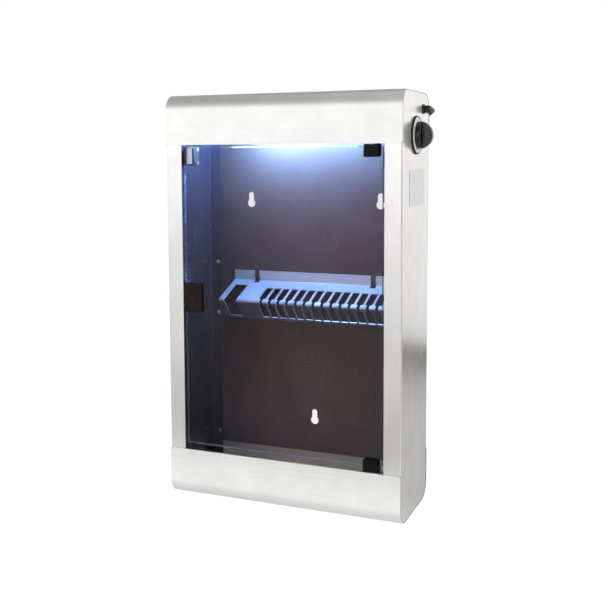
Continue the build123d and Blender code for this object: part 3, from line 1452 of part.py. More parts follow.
with BuildPart() as wiring:
    for route in wire_routes:
        with BuildLine() as wire_path:
            FilletPolyline(*route, radius=wire_bend)
        with BuildSketch(Plane(origin=wire_path.line @ 0, z_dir=wire_path.line % 0)):
            Circle(wire_radius)
        sweep(path=wire_path.wires()[0])
wiring.part.label = "wiring"
export_step(wiring.part, "parts/wiring.step")
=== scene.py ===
import math

import bpy
import numpy as np
from mathutils import Euler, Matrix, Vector


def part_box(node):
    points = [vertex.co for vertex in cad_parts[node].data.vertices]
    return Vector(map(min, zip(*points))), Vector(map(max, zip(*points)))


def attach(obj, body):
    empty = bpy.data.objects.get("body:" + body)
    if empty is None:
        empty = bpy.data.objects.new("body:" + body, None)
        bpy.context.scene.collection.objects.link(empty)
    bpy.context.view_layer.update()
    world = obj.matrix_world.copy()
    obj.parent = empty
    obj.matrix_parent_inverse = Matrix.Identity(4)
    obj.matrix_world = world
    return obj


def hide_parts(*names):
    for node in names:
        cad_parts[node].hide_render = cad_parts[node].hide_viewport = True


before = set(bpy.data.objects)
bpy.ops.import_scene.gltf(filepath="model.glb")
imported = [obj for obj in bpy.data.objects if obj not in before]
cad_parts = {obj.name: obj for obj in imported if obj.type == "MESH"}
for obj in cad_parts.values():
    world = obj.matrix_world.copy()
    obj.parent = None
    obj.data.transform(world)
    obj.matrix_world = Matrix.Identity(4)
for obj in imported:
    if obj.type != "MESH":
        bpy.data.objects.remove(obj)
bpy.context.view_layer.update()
scene = bpy.context.scene
scene.view_settings.view_transform = "Standard"

# What several pieces share: half the casing's width and its height in metres, and the way
# out of its right side.
casing_half = 0.18
casing_height = 0.6
outward = (1, 0, 0)


# The viewpoint: a long lens a little above the middle of the cabinet and to its right,
# aimed down by five degrees. The small shift keeps the frame where the photograph has it.
camera_data = bpy.data.cameras.new("camera")
camera_data.sensor_width = 36.0
camera_data.lens = 53.85
camera_data.shift_y = -0.1104
camera_data.clip_start = 0.05
camera = bpy.data.objects.new("camera", camera_data)
camera.location = (0.5143, -1.2388, 0.5068)
camera.rotation_euler = Euler((math.radians(90 - 4.92), math.radians(0.19), math.radians(22.12)))
scene.collection.objects.link(camera)
scene.camera = camera


# The studio: a pale floor, an evenly lit room and large soft lamps. Seen directly, in metal
# or through glass the room is white at the back and greyer on the side of the camera.
def linear(hex_colour):
    """sRGB hex to linear red, green, blue and alpha: a channel up to 0.04045 is divided by 12.92,
    and a brighter one follows the power 2.4 curve."""
    parts = [int(hex_colour[i : i + 2], 16) / 255 for i in (1, 3, 5)]
    return (*[c / 12.92 if c <= 0.04045 else ((c + 0.055) / 1.055) ** 2.4 for c in parts], 1.0)


def node(tree, kind, sockets=None, stops=(), **settings):
    """Adds one node. A kind without the word Node is a shader node. sockets maps an input to a
    value, to the output that feeds it or to a node whose first output does. stops are a colour
    ramp's pairs of (position, linear colour or grey). settings are the node's properties."""
    made = tree.nodes.new(kind if "Node" in kind else "ShaderNode" + kind)
    for name, value in settings.items():
        setattr(made, name, value)
    for key, value in (sockets or {}).items():
        if isinstance(value, bpy.types.Node):
            value = value.outputs[0]
        if isinstance(value, bpy.types.NodeSocket):
            tree.links.new(value, made.inputs[key])
        else:
            made.inputs[key].default_value = value
    if stops:
        band = made.color_ramp.elements
        while len(band) < len(stops):
            band.new(0.5)
        while len(band) > len(stops):
            band.remove(band[-1])
        for element, (position, colour) in zip(band, stops):
            element.position = position
            element.color = (colour, colour, colour, 1.0) if isinstance(colour, float) else colour
    return made


def start_material(name):
    """Starts a material: gives it, its empty node tree and its surface's object coordinates."""
    made = bpy.data.materials.new(name)
    made.use_nodes = True
    made.node_tree.nodes.clear()
    return made, made.node_tree, node(made.node_tree, "TexCoord").outputs["Object"]


room = bpy.data.worlds.new("studio room")
room.use_nodes = True
room.node_tree.nodes.clear()
tree = room.node_tree
ray = node(tree, "LightPath")
way = node(tree, "SeparateXYZ", {0: node(tree, "TexCoord").outputs["Generated"]})
height = node(
    tree,
    "ValToRGB",
    {0: way.outputs["Z"]},
    [(0.0, 1.0), (0.05, 1.1), (0.28, 1.1), (0.46, 0.44), (0.66, 0.24), (1.0, 0.22)],
)
right = node(tree, "MapRange", {"Value": way.outputs["X"], "From Min": 0.1, "From Max": 0.45})
front = node(tree, "MapRange", {"Value": way.outputs["Y"], "From Min": 0.0, "From Max": -0.3})
corner = node(tree, "Math", {0: right, 1: front}, operation="MULTIPLY")
window = node(tree, "MapRange", {"Value": front, "To Min": 1.0, "To Max": 1.28})
ahead = node(tree, "VectorMath", {0: height, "Scale": window}, operation="SCALE")
shiny = node(tree, "Mix", {0: corner, 6: ahead, 7: linear("#5A5A5A")}, data_type="RGBA")
glossy = ray.outputs["Is Glossy Ray"]
soft_stops = [(0.0, 0.95), (0.3, 0.95), (0.6, 0.40), (1.0, 0.20)]
soft = node(tree, "ValToRGB", {0: way.outputs["Z"]}, soft_stops)
lighting = node(tree, "Mix", {0: glossy, 6: soft, 7: shiny.outputs[2]}, data_type="RGBA")
direct = {0: ray.outputs["Is Camera Ray"], 1: ray.outputs["Is Transmission Ray"]}
seen = node(tree, "Math", direct, operation="MAXIMUM")
white = linear("#FFFFFF")
colour = node(tree, "Mix", {0: seen, 6: lighting.outputs[2], 7: white}, data_type="RGBA")
back = node(tree, "Background", {"Color": colour.outputs[2], "Strength": 1.0})
node(tree, "OutputWorld", {"Surface": back})
scene.world = room


def grid_mesh(name, points, closed=False):
    """A surface from a (rows, columns, 3) array of points: each cell of four neighbours is a face,
    and closed rows join their last point to their first."""
    rows, columns = points.shape[:2]
    index = np.arange(rows * columns).reshape(rows, columns)
    if closed:
        index = np.hstack([index, index[:, :1]])
    corners = [index[:-1, :-1], index[:-1, 1:], index[1:, 1:], index[1:, :-1]]
    faces = np.stack(corners, axis=-1).reshape(-1, 4)
    mesh = bpy.data.meshes.new(name)
    mesh.from_pydata(points.reshape(-1, 3).tolist(), [], faces.tolist())
    mesh.polygons.foreach_set("use_smooth", np.ones(len(mesh.polygons), dtype=bool))
    made = bpy.data.objects.new(name, mesh)
    scene.collection.objects.link(made)
    return made


floor_reach = 5.0
floor_z = -0.0004
floor_lines = np.linspace(-floor_reach, floor_reach, 3)
floor_x, floor_y = np.meshgrid(floor_lines, floor_lines, indexing="xy")
floor = grid_mesh("floor", np.stack([floor_x, floor_y, np.full((3, 3), floor_z)], axis=-1))
floor_paint, tree, place = start_material("white studio floor with painted reflection bands")
ray = node(tree, "LightPath")
spot = node(tree, "SeparateXYZ", {0: place})
span = {"Value": spot.outputs["Y"], "From Min": -floor_reach, "From Max": floor_reach}
rows = node(tree, "MapRange", span)
# Glossy rays see painted reflection bands instead of the plain floor, set by depth: pale far off, a
# bright band just in front of the cabinet, and dark bands in front of and behind it. These lay
# painted highlights and painted shade on the lower covers and the middle of the right side panel.
painted_reflection_bands = node(
    tree,
    "ValToRGB",
    {0: rows},
    [
        (0.0, 0.97),
        (0.2, 0.92),
        (0.40, 0.74),
        (0.44, 0.56),
        (0.47, 0.52),
        (0.48, 1.08),
        (0.489, 1.08),
        (0.494, 0.66),
        (0.505, 0.50),
        (0.55, 0.50),
        (0.578, 0.34),
        (0.592, 0.07),
        (0.612, 0.07),
        (0.622, 0.84),
        (0.7, 0.92),
        (1.0, 0.97),
    ],
)
direct = {0: ray.outputs["Is Camera Ray"], 1: ray.outputs["Is Transmission Ray"]}
seen = node(tree, "Math", direct, operation="MAXIMUM")
paint = node(tree, "BsdfDiffuse", {"Color": linear("#BEBEBE")})
glow = node(tree, "Emission", {"Color": white, "Strength": 0.80})
unlit = node(tree, "Emission", {"Color": white, "Strength": 0.0})
lift = node(tree, "MixShader", {0: seen, 1: unlit, 2: glow})
both = node(tree, "AddShader", {0: paint, 1: lift})
painted_reflection_glow = node(tree, "Emission", {"Color": painted_reflection_bands, "Strength": 1.0})
whole = node(tree, "MixShader", {0: ray.outputs["Is Glossy Ray"], 1: both, 2: painted_reflection_glow})
node(tree, "OutputMaterial", {"Surface": whole})
floor.data.materials.append(floor_paint)

for name, place, size, watts, aim in (
    ("front_lamp", (-1.2, -2.4, 0.9), 2.6, 32, (0, 0, 0.3)),
    ("right_lamp", (2.4, 0.6, 1.1), 1.2, 15, (0.18, 0, 0.35)),
    ("top_lamp", (0.2, 0.2, 2.6), 1.6, 3, (0, 0, 0.3)),
):
    lamp_data = bpy.data.lights.new(name, "AREA")
    lamp_data.size = size
    lamp_data.energy = watts
    lamp = bpy.data.objects.new(name, lamp_data)
    lamp.location = place
    lamp.rotation_euler = (Vector(aim) - Vector(place)).to_track_quat("-Z", "Y").to_euler()
    lamp.visible_glossy = name != "front_lamp"
    scene.collection.objects.link(lamp)


# The mains lead: black PVC sheath, 6.6 mm thick. It leaves the strain relief to the rear, bends
# round the rear corner and runs down behind the casing to its own coil, which a tie holds.
def rough_black(name, hex_colour, roughness, grain_mm, depth_mm, shine=0.5):
    """A moulded black plastic or rubber: a fine even grain of the stated size as bump, and slight
    mottling of colour and gloss."""
    made, tree, place = start_material(name)
    grain = node(tree, "TexNoise", {"Vector": place, "Scale": 1000 / grain_mm, "Detail": 3.0})
    cloud = node(tree, "TexNoise", {"Vector": place, "Scale": 60.0, "Detail": 4.0})
    base = linear(hex_colour)
    lighter = tuple(min(1.0, c * 1.7 + 0.004) for c in base[:3]) + (1.0,)
    tone = node(tree, "Mix", {0: cloud, 6: base, 7: lighter}, data_type="RGBA")
    spread = {"Value": cloud, "To Min": roughness - 0.06, "To Max": roughness + 0.08}
    gloss = node(tree, "MapRange", spread)
    bump = node(tree, "Bump", {"Height": grain, "Strength": 0.5, "Distance": depth_mm / 1000})
    skin = node(
        tree,
        "BsdfPrincipled",
        {
            "Base Color": tone.outputs[2],
            "Roughness": gloss,
            "IOR": 1.5,
            "Specular IOR Level": shine,
            "Normal": bump,
        },
    )
    node(tree, "OutputMaterial", {"Surface": skin})
    return made


cord_radius = 0.0033
cord_exit = (0.1866, 0.051, 0.5765)
cord_sheath = rough_black("black PVC sheath", "#151516", 0.42, 0.6, 0.02)
# From the elbow round the corner, down behind the casing and over to the coil.
fall = [
    cord_exit,
    (0.1866, 0.066, 0.5765),
    (0.182, 0.079, 0.575),
    (0.172, 0.090, 0.571),
    (0.159, 0.0965, 0.563),
    (0.1485, 0.099, 0.551),
    (0.143, 0.0995, 0.532),
    (0.141, 0.0995, 0.500),
    (0.140, 0.099, 0.440),
    (0.1395, 0.099, 0.370),
    (0.139, 0.0995, 0.300),
    (0.1385, 0.100, 0.240),
    (0.136, 0.099, 0.180),
    (0.130, 0.1035, 0.118),
    (0.120, 0.112, 0.070),
    (0.106, 0.125, 0.035),
    (0.086, 0.142, 0.013),
    (0.060, 0.160, 0.0045),
    (0.030, 0.174, 0.0040),
    (-0.006, 0.1815, 0.0049),
]
# The coil: two turns inward in the lower layer, half a turn to climb, and two outward in the
# upper layer. The curve runs a little inside its points, so they stand further out.
coil_centre = np.array([-0.030, 0.137])
coil_pitch = 0.0083
coil_outer = 0.0446
coil_low = 0.0049
coil_points, points_a_turn = 54, 12
lower_turns, climb_turns = 2.0, 0.5
curve_inset = 0.982
turn = np.arange(0, coil_points) / points_a_turn
turns_in = np.minimum(turn, lower_turns)
turns_out = np.maximum(turn - lower_turns - climb_turns, 0.0)
coil_radius = (coil_outer - coil_pitch * (turns_in - turns_out)) / curve_inset
coil_angle = math.pi / 2 + 2 * math.pi * turn
coil_z = coil_low + coil_pitch * np.clip((turn - lower_turns) / climb_turns, 0, 1)
coil = np.stack(
    [
        coil_centre[0] + coil_radius * np.cos(coil_angle),
        coil_centre[1] + coil_radius * np.sin(coil_angle),
        coil_z,
    ],
    axis=-1,
)
# From the coil's upper layer into the plug.
tail = [
    (-0.030, 0.0924, 0.0132),
    (-0.012, 0.0924, 0.0132),
    (0.018, 0.095, 0.0181),
    (0.038, 0.095, 0.0181),
]
cord_curve = bpy.data.curves.new("mains_lead", "CURVE")
cord_curve.dimensions = "3D"
cord_curve.bevel_depth = cord_radius
cord_curve.bevel_resolution = 5
cord_curve.resolution_u = 8
cord_curve.use_fill_caps = True
cord_line = cord_curve.splines.new("NURBS")
cord_points = fall + [tuple(p) for p in coil] + tail
cord_line.points.add(len(cord_points) - 1)
cord_line.points.foreach_set("co", np.array([(*p, 1.0) for p in cord_points]).ravel())
cord_line.order_u = 3
cord_line.use_endpoint_u = True
mains_lead = bpy.data.objects.new("mains_lead", cord_curve)
scene.collection.objects.link(mains_lead)
cord_curve.materials.append(cord_sheath)
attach(mains_lead, "casing")
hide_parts("power_cord", "cord_coil", "plug_lead")


# The plug: one moulding of black PVC round two nickel-plated pins, with finger grooves across
# its waist and a ribbed sleeve where the lead goes in. It lies on its side by the coil.
def lathe(name, profile, origin, axis, count=64, lobes=0, lobe_depth=0.0):
    """A turned form: profile is rows of (distance along the axis, radius), carried once round it,
    with each radius pulled in a little between its lobes."""
    along, radius = np.asarray(profile, float).T
    angle = np.linspace(0, 2 * np.pi, count, endpoint=False)
    axis = Vector(axis).normalized()
    first = axis.orthogonal().normalized()
    if abs(axis.z) < 0.5:
        first = (Vector((0, 0, 1)) - axis * axis.z).normalized()
    second = axis.cross(first)
    wave = 1 - lobe_depth * (0.5 - 0.5 * np.cos(lobes * angle))
    ring = np.cos(angle)[:, None] * np.array(first) + np.sin(angle)[:, None] * np.array(second)
    points = (
        np.array(origin)
        + along[:, None, None] * np.array(axis)
        + radius[:, None, None] * wave[None, :, None] * ring[None]
    )
    return grid_mesh(name, points, closed=True)


def rounded(corners, radius=0.0006, steps=3):
    """A profile whose inner corners are cut by short arcs: each is a quadratic curve between the
    points that far before and after it."""
    corners = [np.array(c, float) for c in corners]
    line = [corners[0]]
    for before, here, after in zip(corners, corners[1:], corners[2:]):
        reach_in = min(radius, 0.45 * np.linalg.norm(before - here))
        reach_out = min(radius, 0.45 * np.linalg.norm(after - here))
        start = here + (before - here) / np.linalg.norm(before - here) * reach_in
        end = here + (after - here) / np.linalg.norm(after - here) * reach_out
        for t in np.linspace(0, 1, steps + 1):
            line.append((1 - t) ** 2 * start + 2 * t * (1 - t) * here + t**2 * end)
    line.append(corners[-1])
    return line


plug_plastic = rough_black("moulded black PVC plug", "#121213", 0.38, 0.9, 0.03)
sleeve = []
rib_start, rib_pitch, rib_width = 0.0015, 0.0038, 0.0024
rib_radius, rib_growth, rib_depth = 0.0043, 0.00028, 0.0009
for rib in range(6):
    start = rib_start + rib * rib_pitch
    swell = rib_radius + rib_growth * rib
    sleeve += [
        (start, swell),
        (start + rib_width, swell + 0.0001),
        (start + rib_width, swell - rib_depth),
        (start + rib_pitch - 0.0001, swell - rib_depth + 0.0001),
    ]
plug_profile = rounded(
    [(0, 0.0), (0, 0.0040)]
    + sleeve
    + [
        (0.026, 0.0070),
        (0.0373, 0.0150),
        (0.0430, 0.0180),
        (0.0475, 0.0180),
        (0.0482, 0.0170),
        (0.0500, 0.0170),
        (0.0507, 0.0180),
        (0.0530, 0.0180),
        (0.0537, 0.0170),
        (0.0555, 0.0170),
        (0.0562, 0.0180),
        (0.0600, 0.0180),
        (0.0600, 0.0),
    ],
    0.0007,
)
plug_body = lathe("plug_body", plug_profile, (0.038, 0.095, 0.0181), outward, 96, 2, 0.045)
plug_body.data.materials.append(plug_plastic)
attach(plug_body, "casing")
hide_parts("plug")


def plain_metal(name, hex_colour, roughness, grain_mm=0.8, metallic=1.0, tarnish="#B0A898"):
    """A machined or plated metal: fine turning marks as bump, and cloudy patches that are a touch
    darker and less shiny."""
    made, tree, place = start_material(name)
    grain = node(tree, "TexNoise", {"Vector": place, "Scale": 1000 / grain_mm, "Detail": 2.0})
    cloud = node(tree, "TexNoise", {"Vector": place, "Scale": 90.0, "Detail": 5.0})
    spread = {"Value": cloud, "From Min": 0.45, "From Max": 0.8, "To Max": 0.6}
    patch = node(tree, "MapRange", spread)
    colours = {0: patch, 6: linear(hex_colour), 7: linear(tarnish)}
    tone = node(tree, "Mix", colours, data_type="RGBA")
    spread = {"Value": cloud, "To Min": roughness - 0.05, "To Max": roughness + 0.1}
    gloss = node(tree, "MapRange", spread)
    bump = node(tree, "Bump", {"Height": grain, "Strength": 0.3, "Distance": 0.00002})
    skin = node(
        tree,
        "BsdfPrincipled",
        {"Base Color": tone.outputs[2], "Metallic": metallic, "Roughness": gloss, "Normal": bump},
    )
    node(tree, "OutputMaterial", {"Surface": skin})
    return made


# Carried-over solids keep the shape the maker's drawing gives them. Their loose triangles are
# welded, and edges bent by less than about 34 degrees are shaded as one smooth surface.
smooth_solid = bpy.data.node_groups.new("smooth_solid", "GeometryNodeTree")
smooth_solid.interface.new_socket("Geometry", in_out="INPUT", socket_type="NodeSocketGeometry")
smooth_solid.interface.new_socket("Geometry", in_out="OUTPUT", socket_type="NodeSocketGeometry")
tree = smooth_solid
entry = node(tree, "NodeGroupInput")
weld = node(tree, "GeometryNodeMergeByDistance", {"Geometry": entry, "Distance": 0.000002})
bend = node(tree, "GeometryNodeInputMeshEdgeAngle")
smooth_below = 0.6
gentle = node(
    tree,
    "FunctionNodeCompare",
    {0: bend.outputs["Unsigned Angle"], 1: smooth_below},
    data_type="FLOAT",
    operation="LESS_THAN",
)
shade_smooth = "GeometryNodeSetShadeSmooth"
edges = node(tree, shade_smooth, {"Geometry": weld, "Shade Smooth": gentle}, domain="EDGE")
faces = node(tree, shade_smooth, {"Geometry": edges, "Shade Smooth": True}, domain="FACE")
node(tree, "NodeGroupOutput", {0: faces})


def finish_solid(names, material):
    """Gives carried-over solids their material and the smoothing group."""
    for name in names:
        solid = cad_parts[name]
        solid.data.materials.clear()
        solid.data.materials.append(material)
        smoothing = solid.modifiers.new("smooth", "NODES")
        smoothing.node_group = smooth_solid


nickel = plain_metal("nickel-plated brass", "#CFCBBF", 0.22)
tie_plastic = rough_black("black nylon tie", "#1A1A1B", 0.5, 0.5, 0.02)
finish_solid(["plug_pins"], nickel)
finish_solid(["cord_tie"], tie_plastic)


# The strain relief: one elbow of black nylon. A flange lies on the side panel, the elbow turns
# the lead to the rear and its tapered sleeve has cut rings so that it can bend.
def tube(name, path, radii, count=40):
    """A pipe with a changing radius: a ring of points about each path point, square to the path,
    in a frame that turns with it and never twists."""
    path = np.asarray(path, float)
    way = np.gradient(path, axis=0)
    way /= np.linalg.norm(way, axis=1)[:, None]
    side = np.cross(way, [0, 0, 1.0])
    side /= np.linalg.norm(side, axis=1)[:, None]
    up = np.cross(side, way)
    angle = np.linspace(0, 2 * np.pi, count, endpoint=False)
    ring = np.cos(angle)[None, :, None] * side[:, None] + np.sin(angle)[None, :, None] * up[:, None]
    return grid_mesh(name, path[:, None] + np.asarray(radii)[:, None, None] * ring, closed=True)


relief_plastic = rough_black("black nylon elbow", "#101011", 0.42, 0.7, 0.03)
relief_x, relief_y, relief_z = 0.1866, 0.035, 0.5765
relief_radius, relief_tip_radius, relief_tip_y = 0.0052, 0.0041, 0.0510
bend_size = 0.0055
bend_steps, sleeve_steps = 12, 56
bend_angle = np.linspace(0, math.pi / 2, bend_steps)
arc = np.stack(
    [
        relief_x - bend_size + bend_size * np.sin(bend_angle),
        relief_y + bend_size - bend_size * np.cos(bend_angle),
        np.full(bend_steps, relief_z),
    ],
    axis=-1,
)
sleeve_y = np.linspace(relief_y + bend_size + 0.0006, relief_tip_y, sleeve_steps)
elbow_path = np.vstack(
    [
        [[x, relief_y, relief_z] for x in (casing_half, 0.1808, 0.1820, 0.1825)],
        arc,
        [[relief_x, y, relief_z] for y in sleeve_y],
        [[relief_x, 0.05102, relief_z], [relief_x, 0.05104, relief_z]],
    ]
)
taper = np.linspace(relief_radius, relief_tip_radius, sleeve_steps)
groove_depth, groove_pitch = 0.0006, 0.0033
groove_phase = (sleeve_y - sleeve_y[0]) / groove_pitch * 2 * math.pi
groove = groove_depth * (np.sin(groove_phase) > 0.35)
elbow_radii = [relief_radius] * (4 + bend_steps) + list(taper - groove) + [0.0036, 0.0001]
elbow = tube("strain_relief_elbow", elbow_path, elbow_radii)
flange = lathe(
    "strain_relief_flange",
    rounded([(0, 0), (0, 0.0070), (0.0020, 0.0068), (0.0020, 0.0055), (0.0021, 0.0)], 0.0005),
    (casing_half, relief_y, relief_z),
    outward,
    48,
)
neck = lathe(
    "strain_relief_neck",
    rounded([(0, 0), (0, 0.0056), (0.0064, 0.0056), (0.0064, 0.0)], 0.0003),
    (0.1736, relief_y, relief_z),
    outward,
    40,
)
for piece in (elbow, flange, neck):
    piece.data.materials.append(relief_plastic)
    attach(piece, "casing")
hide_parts("strain_relief")
finish_solid(["relief_nut"], relief_plastic)
supply_sheath = rough_black("inner supply lead", "#161617", 0.45, 0.6, 0.02)
finish_solid(["supply_lead"], supply_sheath)


# The casing: stainless sheet, 1.2 mm. The covers are brushed along the sheet's width and left
# with a soft white sheen, and the side panels are brushed from top to bottom. Inside the
# casing the sheet's colour carries painted shade and painted lamp light.
def brushed_steel(
    name,
    hex_colour,
    line_way,
    roughness,
    mottle,
    metallic=0.9,
    painted_inside_light=1.0,
    painted_tints=((0.0, "#FFFFFF"),),
    painted_fold_glint_y=None,
):
    """Brushed stainless: streaks 1.6 mm apart, drawn coarser than the real 0.2 mm grit so that
    they show, long in line_way, and faint cloudy patches from handling. Faces that look towards
    the middle of the casing get painted shade and painted lamp light: their colour is scaled by
    the inside factor and tinted by height from the given pairs of (share of the casing's height,
    colour). A narrow band at the given fold depth is spared that scaling: a painted highlight."""
    made, tree, place = start_material(name)
    fine, long = 640.0, 9.0
    stretch = [long if i == line_way else fine for i in range(3)]
    lines = node(tree, "Mapping", {"Vector": place, "Scale": stretch})
    grain = {"Vector": lines, "Scale": 1.0, "Detail": 4.0, "Roughness": 0.65}
    streak = node(tree, "TexNoise", grain)
    patches = {"Vector": place, "Scale": 26.0, "Detail": 6.0, "Roughness": 0.6}
    cloud = node(tree, "TexNoise", patches)
    fleck = node(tree, "Math", {0: streak, 1: cloud}, operation="MULTIPLY")
    share = node(tree, "MapRange", {"Value": fleck, "From Min": 0.14, "From Max": 0.42})
    colours = {0: share, 6: linear(mottle), 7: linear(hex_colour)}
    tone = node(tree, "Mix", colours, data_type="RGBA")
    spot = node(tree, "SeparateXYZ", {0: place})
    # Faces that look towards the middle get painted shade and painted lamp light, and the fold band
    # a painted highlight.
    middle = (0.0, 0.0, casing_height / 2)
    reach = node(tree, "VectorMath", {0: place, 1: middle}, operation="SUBTRACT")
    normal = node(tree, "TexCoord").outputs["Normal"]
    facing = node(tree, "VectorMath", {0: reach, 1: normal}, operation="DOT_PRODUCT")
    painted_inward_faces = node(tree, "Math", {0: facing.outputs["Value"], 1: 0.0}, operation="LESS_THAN")
    flat = painted_inward_faces
    if painted_fold_glint_y is not None:
        painted_fold_glint = node(tree, "Math", {0: spot.outputs["Y"], 1: painted_fold_glint_y, 2: 0.0006}, operation="COMPARE")
        flat = node(tree, "Math", {0: painted_inward_faces, 1: painted_fold_glint}, operation="SUBTRACT", use_clamp=True)
    painted_inside_scale = node(tree, "MapRange", {"Value": flat, "To Min": 1.0, "To Max": painted_inside_light})
    rise = node(tree, "MapRange", {"Value": spot.outputs["Z"], "From Max": casing_height})
    stops = [(share_up, linear(hue)) for share_up, hue in painted_tints]
    tint = node(tree, "ValToRGB", {0: rise}, stops)
    painted_inside_tint = node(tree, "Mix", {0: painted_inward_faces, 6: linear("#FFFFFF"), 7: tint}, data_type="RGBA")
    shade = node(tree, "VectorMath", {0: painted_inside_tint.outputs[2], "Scale": painted_inside_scale}, operation="SCALE")
    toned = node(tree, "VectorMath", {0: tone.outputs[2], 1: shade}, operation="MULTIPLY")
    gloss = node(
        tree,
        "MapRange",
        {
            "Value": streak,
            "From Min": 0.25,
            "From Max": 0.75,
            "To Min": roughness - 0.05,
            "To Max": roughness + 0.07,
        },
    )
    bump = node(tree, "Bump", {"Height": streak, "Strength": 0.2, "Distance": 0.000012})
    skin = node(
        tree,
        "BsdfPrincipled",
        {
            "Base Color": toned,
            "Metallic": metallic,
            "Roughness": gloss,
            "Anisotropic": 0.35,
            "Normal": bump,
        },
    )
    node(tree, "OutputMaterial", {"Surface": skin})
    return made


# Inside, the covers are tinted warm towards the bottom, fading out by three quarters of the
# casing's height: painted warm light.
cover_steel = brushed_steel(
    "stainless sheet brushed across",
    "#FCFCFB",
    line_way=0,
    roughness=0.42,
    mottle="#EFEFEE",
    metallic=0.8,
    painted_tints=((0.17, "#FFEAD2"), (0.75, "#FFFFFF")),
)
# Inside, the side panels are painted down to three tenths and tinted by height, brownish low down
# and pale blue near the lamp: painted shade and painted lamp light. Along the rear fold they are
# spared the darkening: a painted highlight.
panel_steel = brushed_steel(
    "stainless sheet brushed upright",
    "#F4F3F2",
    line_way=2,
    roughness=0.22,
    mottle="#E5E4E2",
    metallic=0.7,
    painted_inside_light=0.3,
    painted_tints=((0.17, "#B3A6A2"), (0.42, "#C0B5AF"), (0.70, "#C0A7C2"), (0.86, "#D4D4FF")),
    painted_fold_glint_y=0.0653,
)
# Inside, the back sheet is painted down to about a quarter and tinted warm by height, darkest at
# about two fifths of the height: painted shade and painted lamp light.
back_steel = brushed_steel(
    "rolled stainless back sheet with painted shade",
    "#B6A6A8",
    line_way=2,
    roughness=0.5,
    mottle="#A19294",
    metallic=0.3,
    painted_inside_light=0.27,
    painted_tints=((0.17, "#FFF0DA"), (0.40, "#CEC0AE"), (0.72, "#EDCEC5"), (0.87, "#FFF6EC")),
)
finish_solid(["top_cover", "bottom_cover"], cover_steel)
finish_solid(["left_side_panel", "right_side_panel"], panel_steel)
finish_solid(["back_panel"], back_steel)


# Seams: each cover wraps round the ends of the side panels, and on both sides a thin dark line
# runs where the cover's cut edge meets the panel: a painted shadow of the narrow gap.
seam_shadow_paint = rough_black("dark seam shadow line", "#3A3A3A", 0.6, 0.5, 0.01, 0.2)
seam_radius = 0.00028
seam_turn = 0.02275
seam_y, seam_top, seam_low = 0.06875, 0.59875, 0.5272
half_seam = [(-seam_y, seam_low)]
for angle in np.linspace(0, math.pi / 2, 13):
    inward, downward = 1 - math.cos(angle), 1 - math.sin(angle)
    half_seam.append((-seam_y + seam_turn * inward, seam_top - seam_turn * downward))
whole_seam = half_seam + [(-y, z) for y, z in reversed(half_seam)]
for side in (-1, 1):
    for upper in (True, False):
        seam_curve = bpy.data.curves.new("cover_seam", "CURVE")
        seam_curve.dimensions = "3D"
        seam_curve.bevel_depth = seam_radius
        seam_curve.bevel_resolution = 2
        seam_curve.use_fill_caps = True
        seam_line = seam_curve.splines.new("POLY")
        seam_line.points.add(len(whole_seam) - 1)
        for point, (y, z) in zip(seam_line.points, whole_seam):
            point.co = (side * casing_half, y, z if upper else casing_height - z, 1.0)
        seam = bpy.data.objects.new("cover_seam", seam_curve)
        scene.collection.objects.link(seam)
        seam_curve.materials.append(seam_shadow_paint)
        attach(seam, "casing")


# Blind rivets through the rear flanges: aluminium, with a domed head inside the casing and the
# broken mandrel showing as a dimple in the middle of it.
rivet_alloy = plain_metal("aluminium rivet", "#C4C4C2", 0.38)
rivet_x, flange_y = 0.1665, 0.0663
cover_back_y, panel_back_y = 0.070, 0.0687
rivet_pieces = []
for side in (-1, 1):
    for rivet_z, outside in (
        (0.062, cover_back_y),
        (0.258, panel_back_y),
        (0.341, panel_back_y),
        (0.538, cover_back_y),
    ):
        rivet = lathe(
            "rivet",
            rounded(
                [
                    (0.0, 0.0),
                    (0.0, 0.0020),
                    (outside - flange_y, 0.0020),
                    (outside - flange_y, 0.0032),
                    (outside - 0.0660, 0.0032),
                    (outside - 0.0654, 0.0023),
                    (outside - 0.0653, 0.0011),
                    (outside - 0.0656, 0.0009),
                    (outside - 0.0656, 0.0),
                ],
                0.0003,
            ),
            (side * rivet_x, outside, rivet_z),
            (0, -1, 0),
            28,
        )
        rivet_pieces.append(rivet)
for piece in rivet_pieces:
    piece.data.materials.append(rivet_alloy)
    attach(piece, "casing")
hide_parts("panel_rivets")


# The knife rack: 1.5 mm stainless, laser cut and folded twice. Its shelf and rear flange,
# which face the middle of the casing, are painted 2.6 times lighter as painted lamp light, and
# the underside of its apron keeps the darker plain colour.
rack_steel = brushed_steel(
    "stainless rack with painted lamp light",
    "#7F838E",
    line_way=0,
    roughness=0.38,
    mottle="#73767F",
    metallic=0.55,
    painted_inside_light=2.6,
)
finish_solid(["knife_rack"], rack_steel)


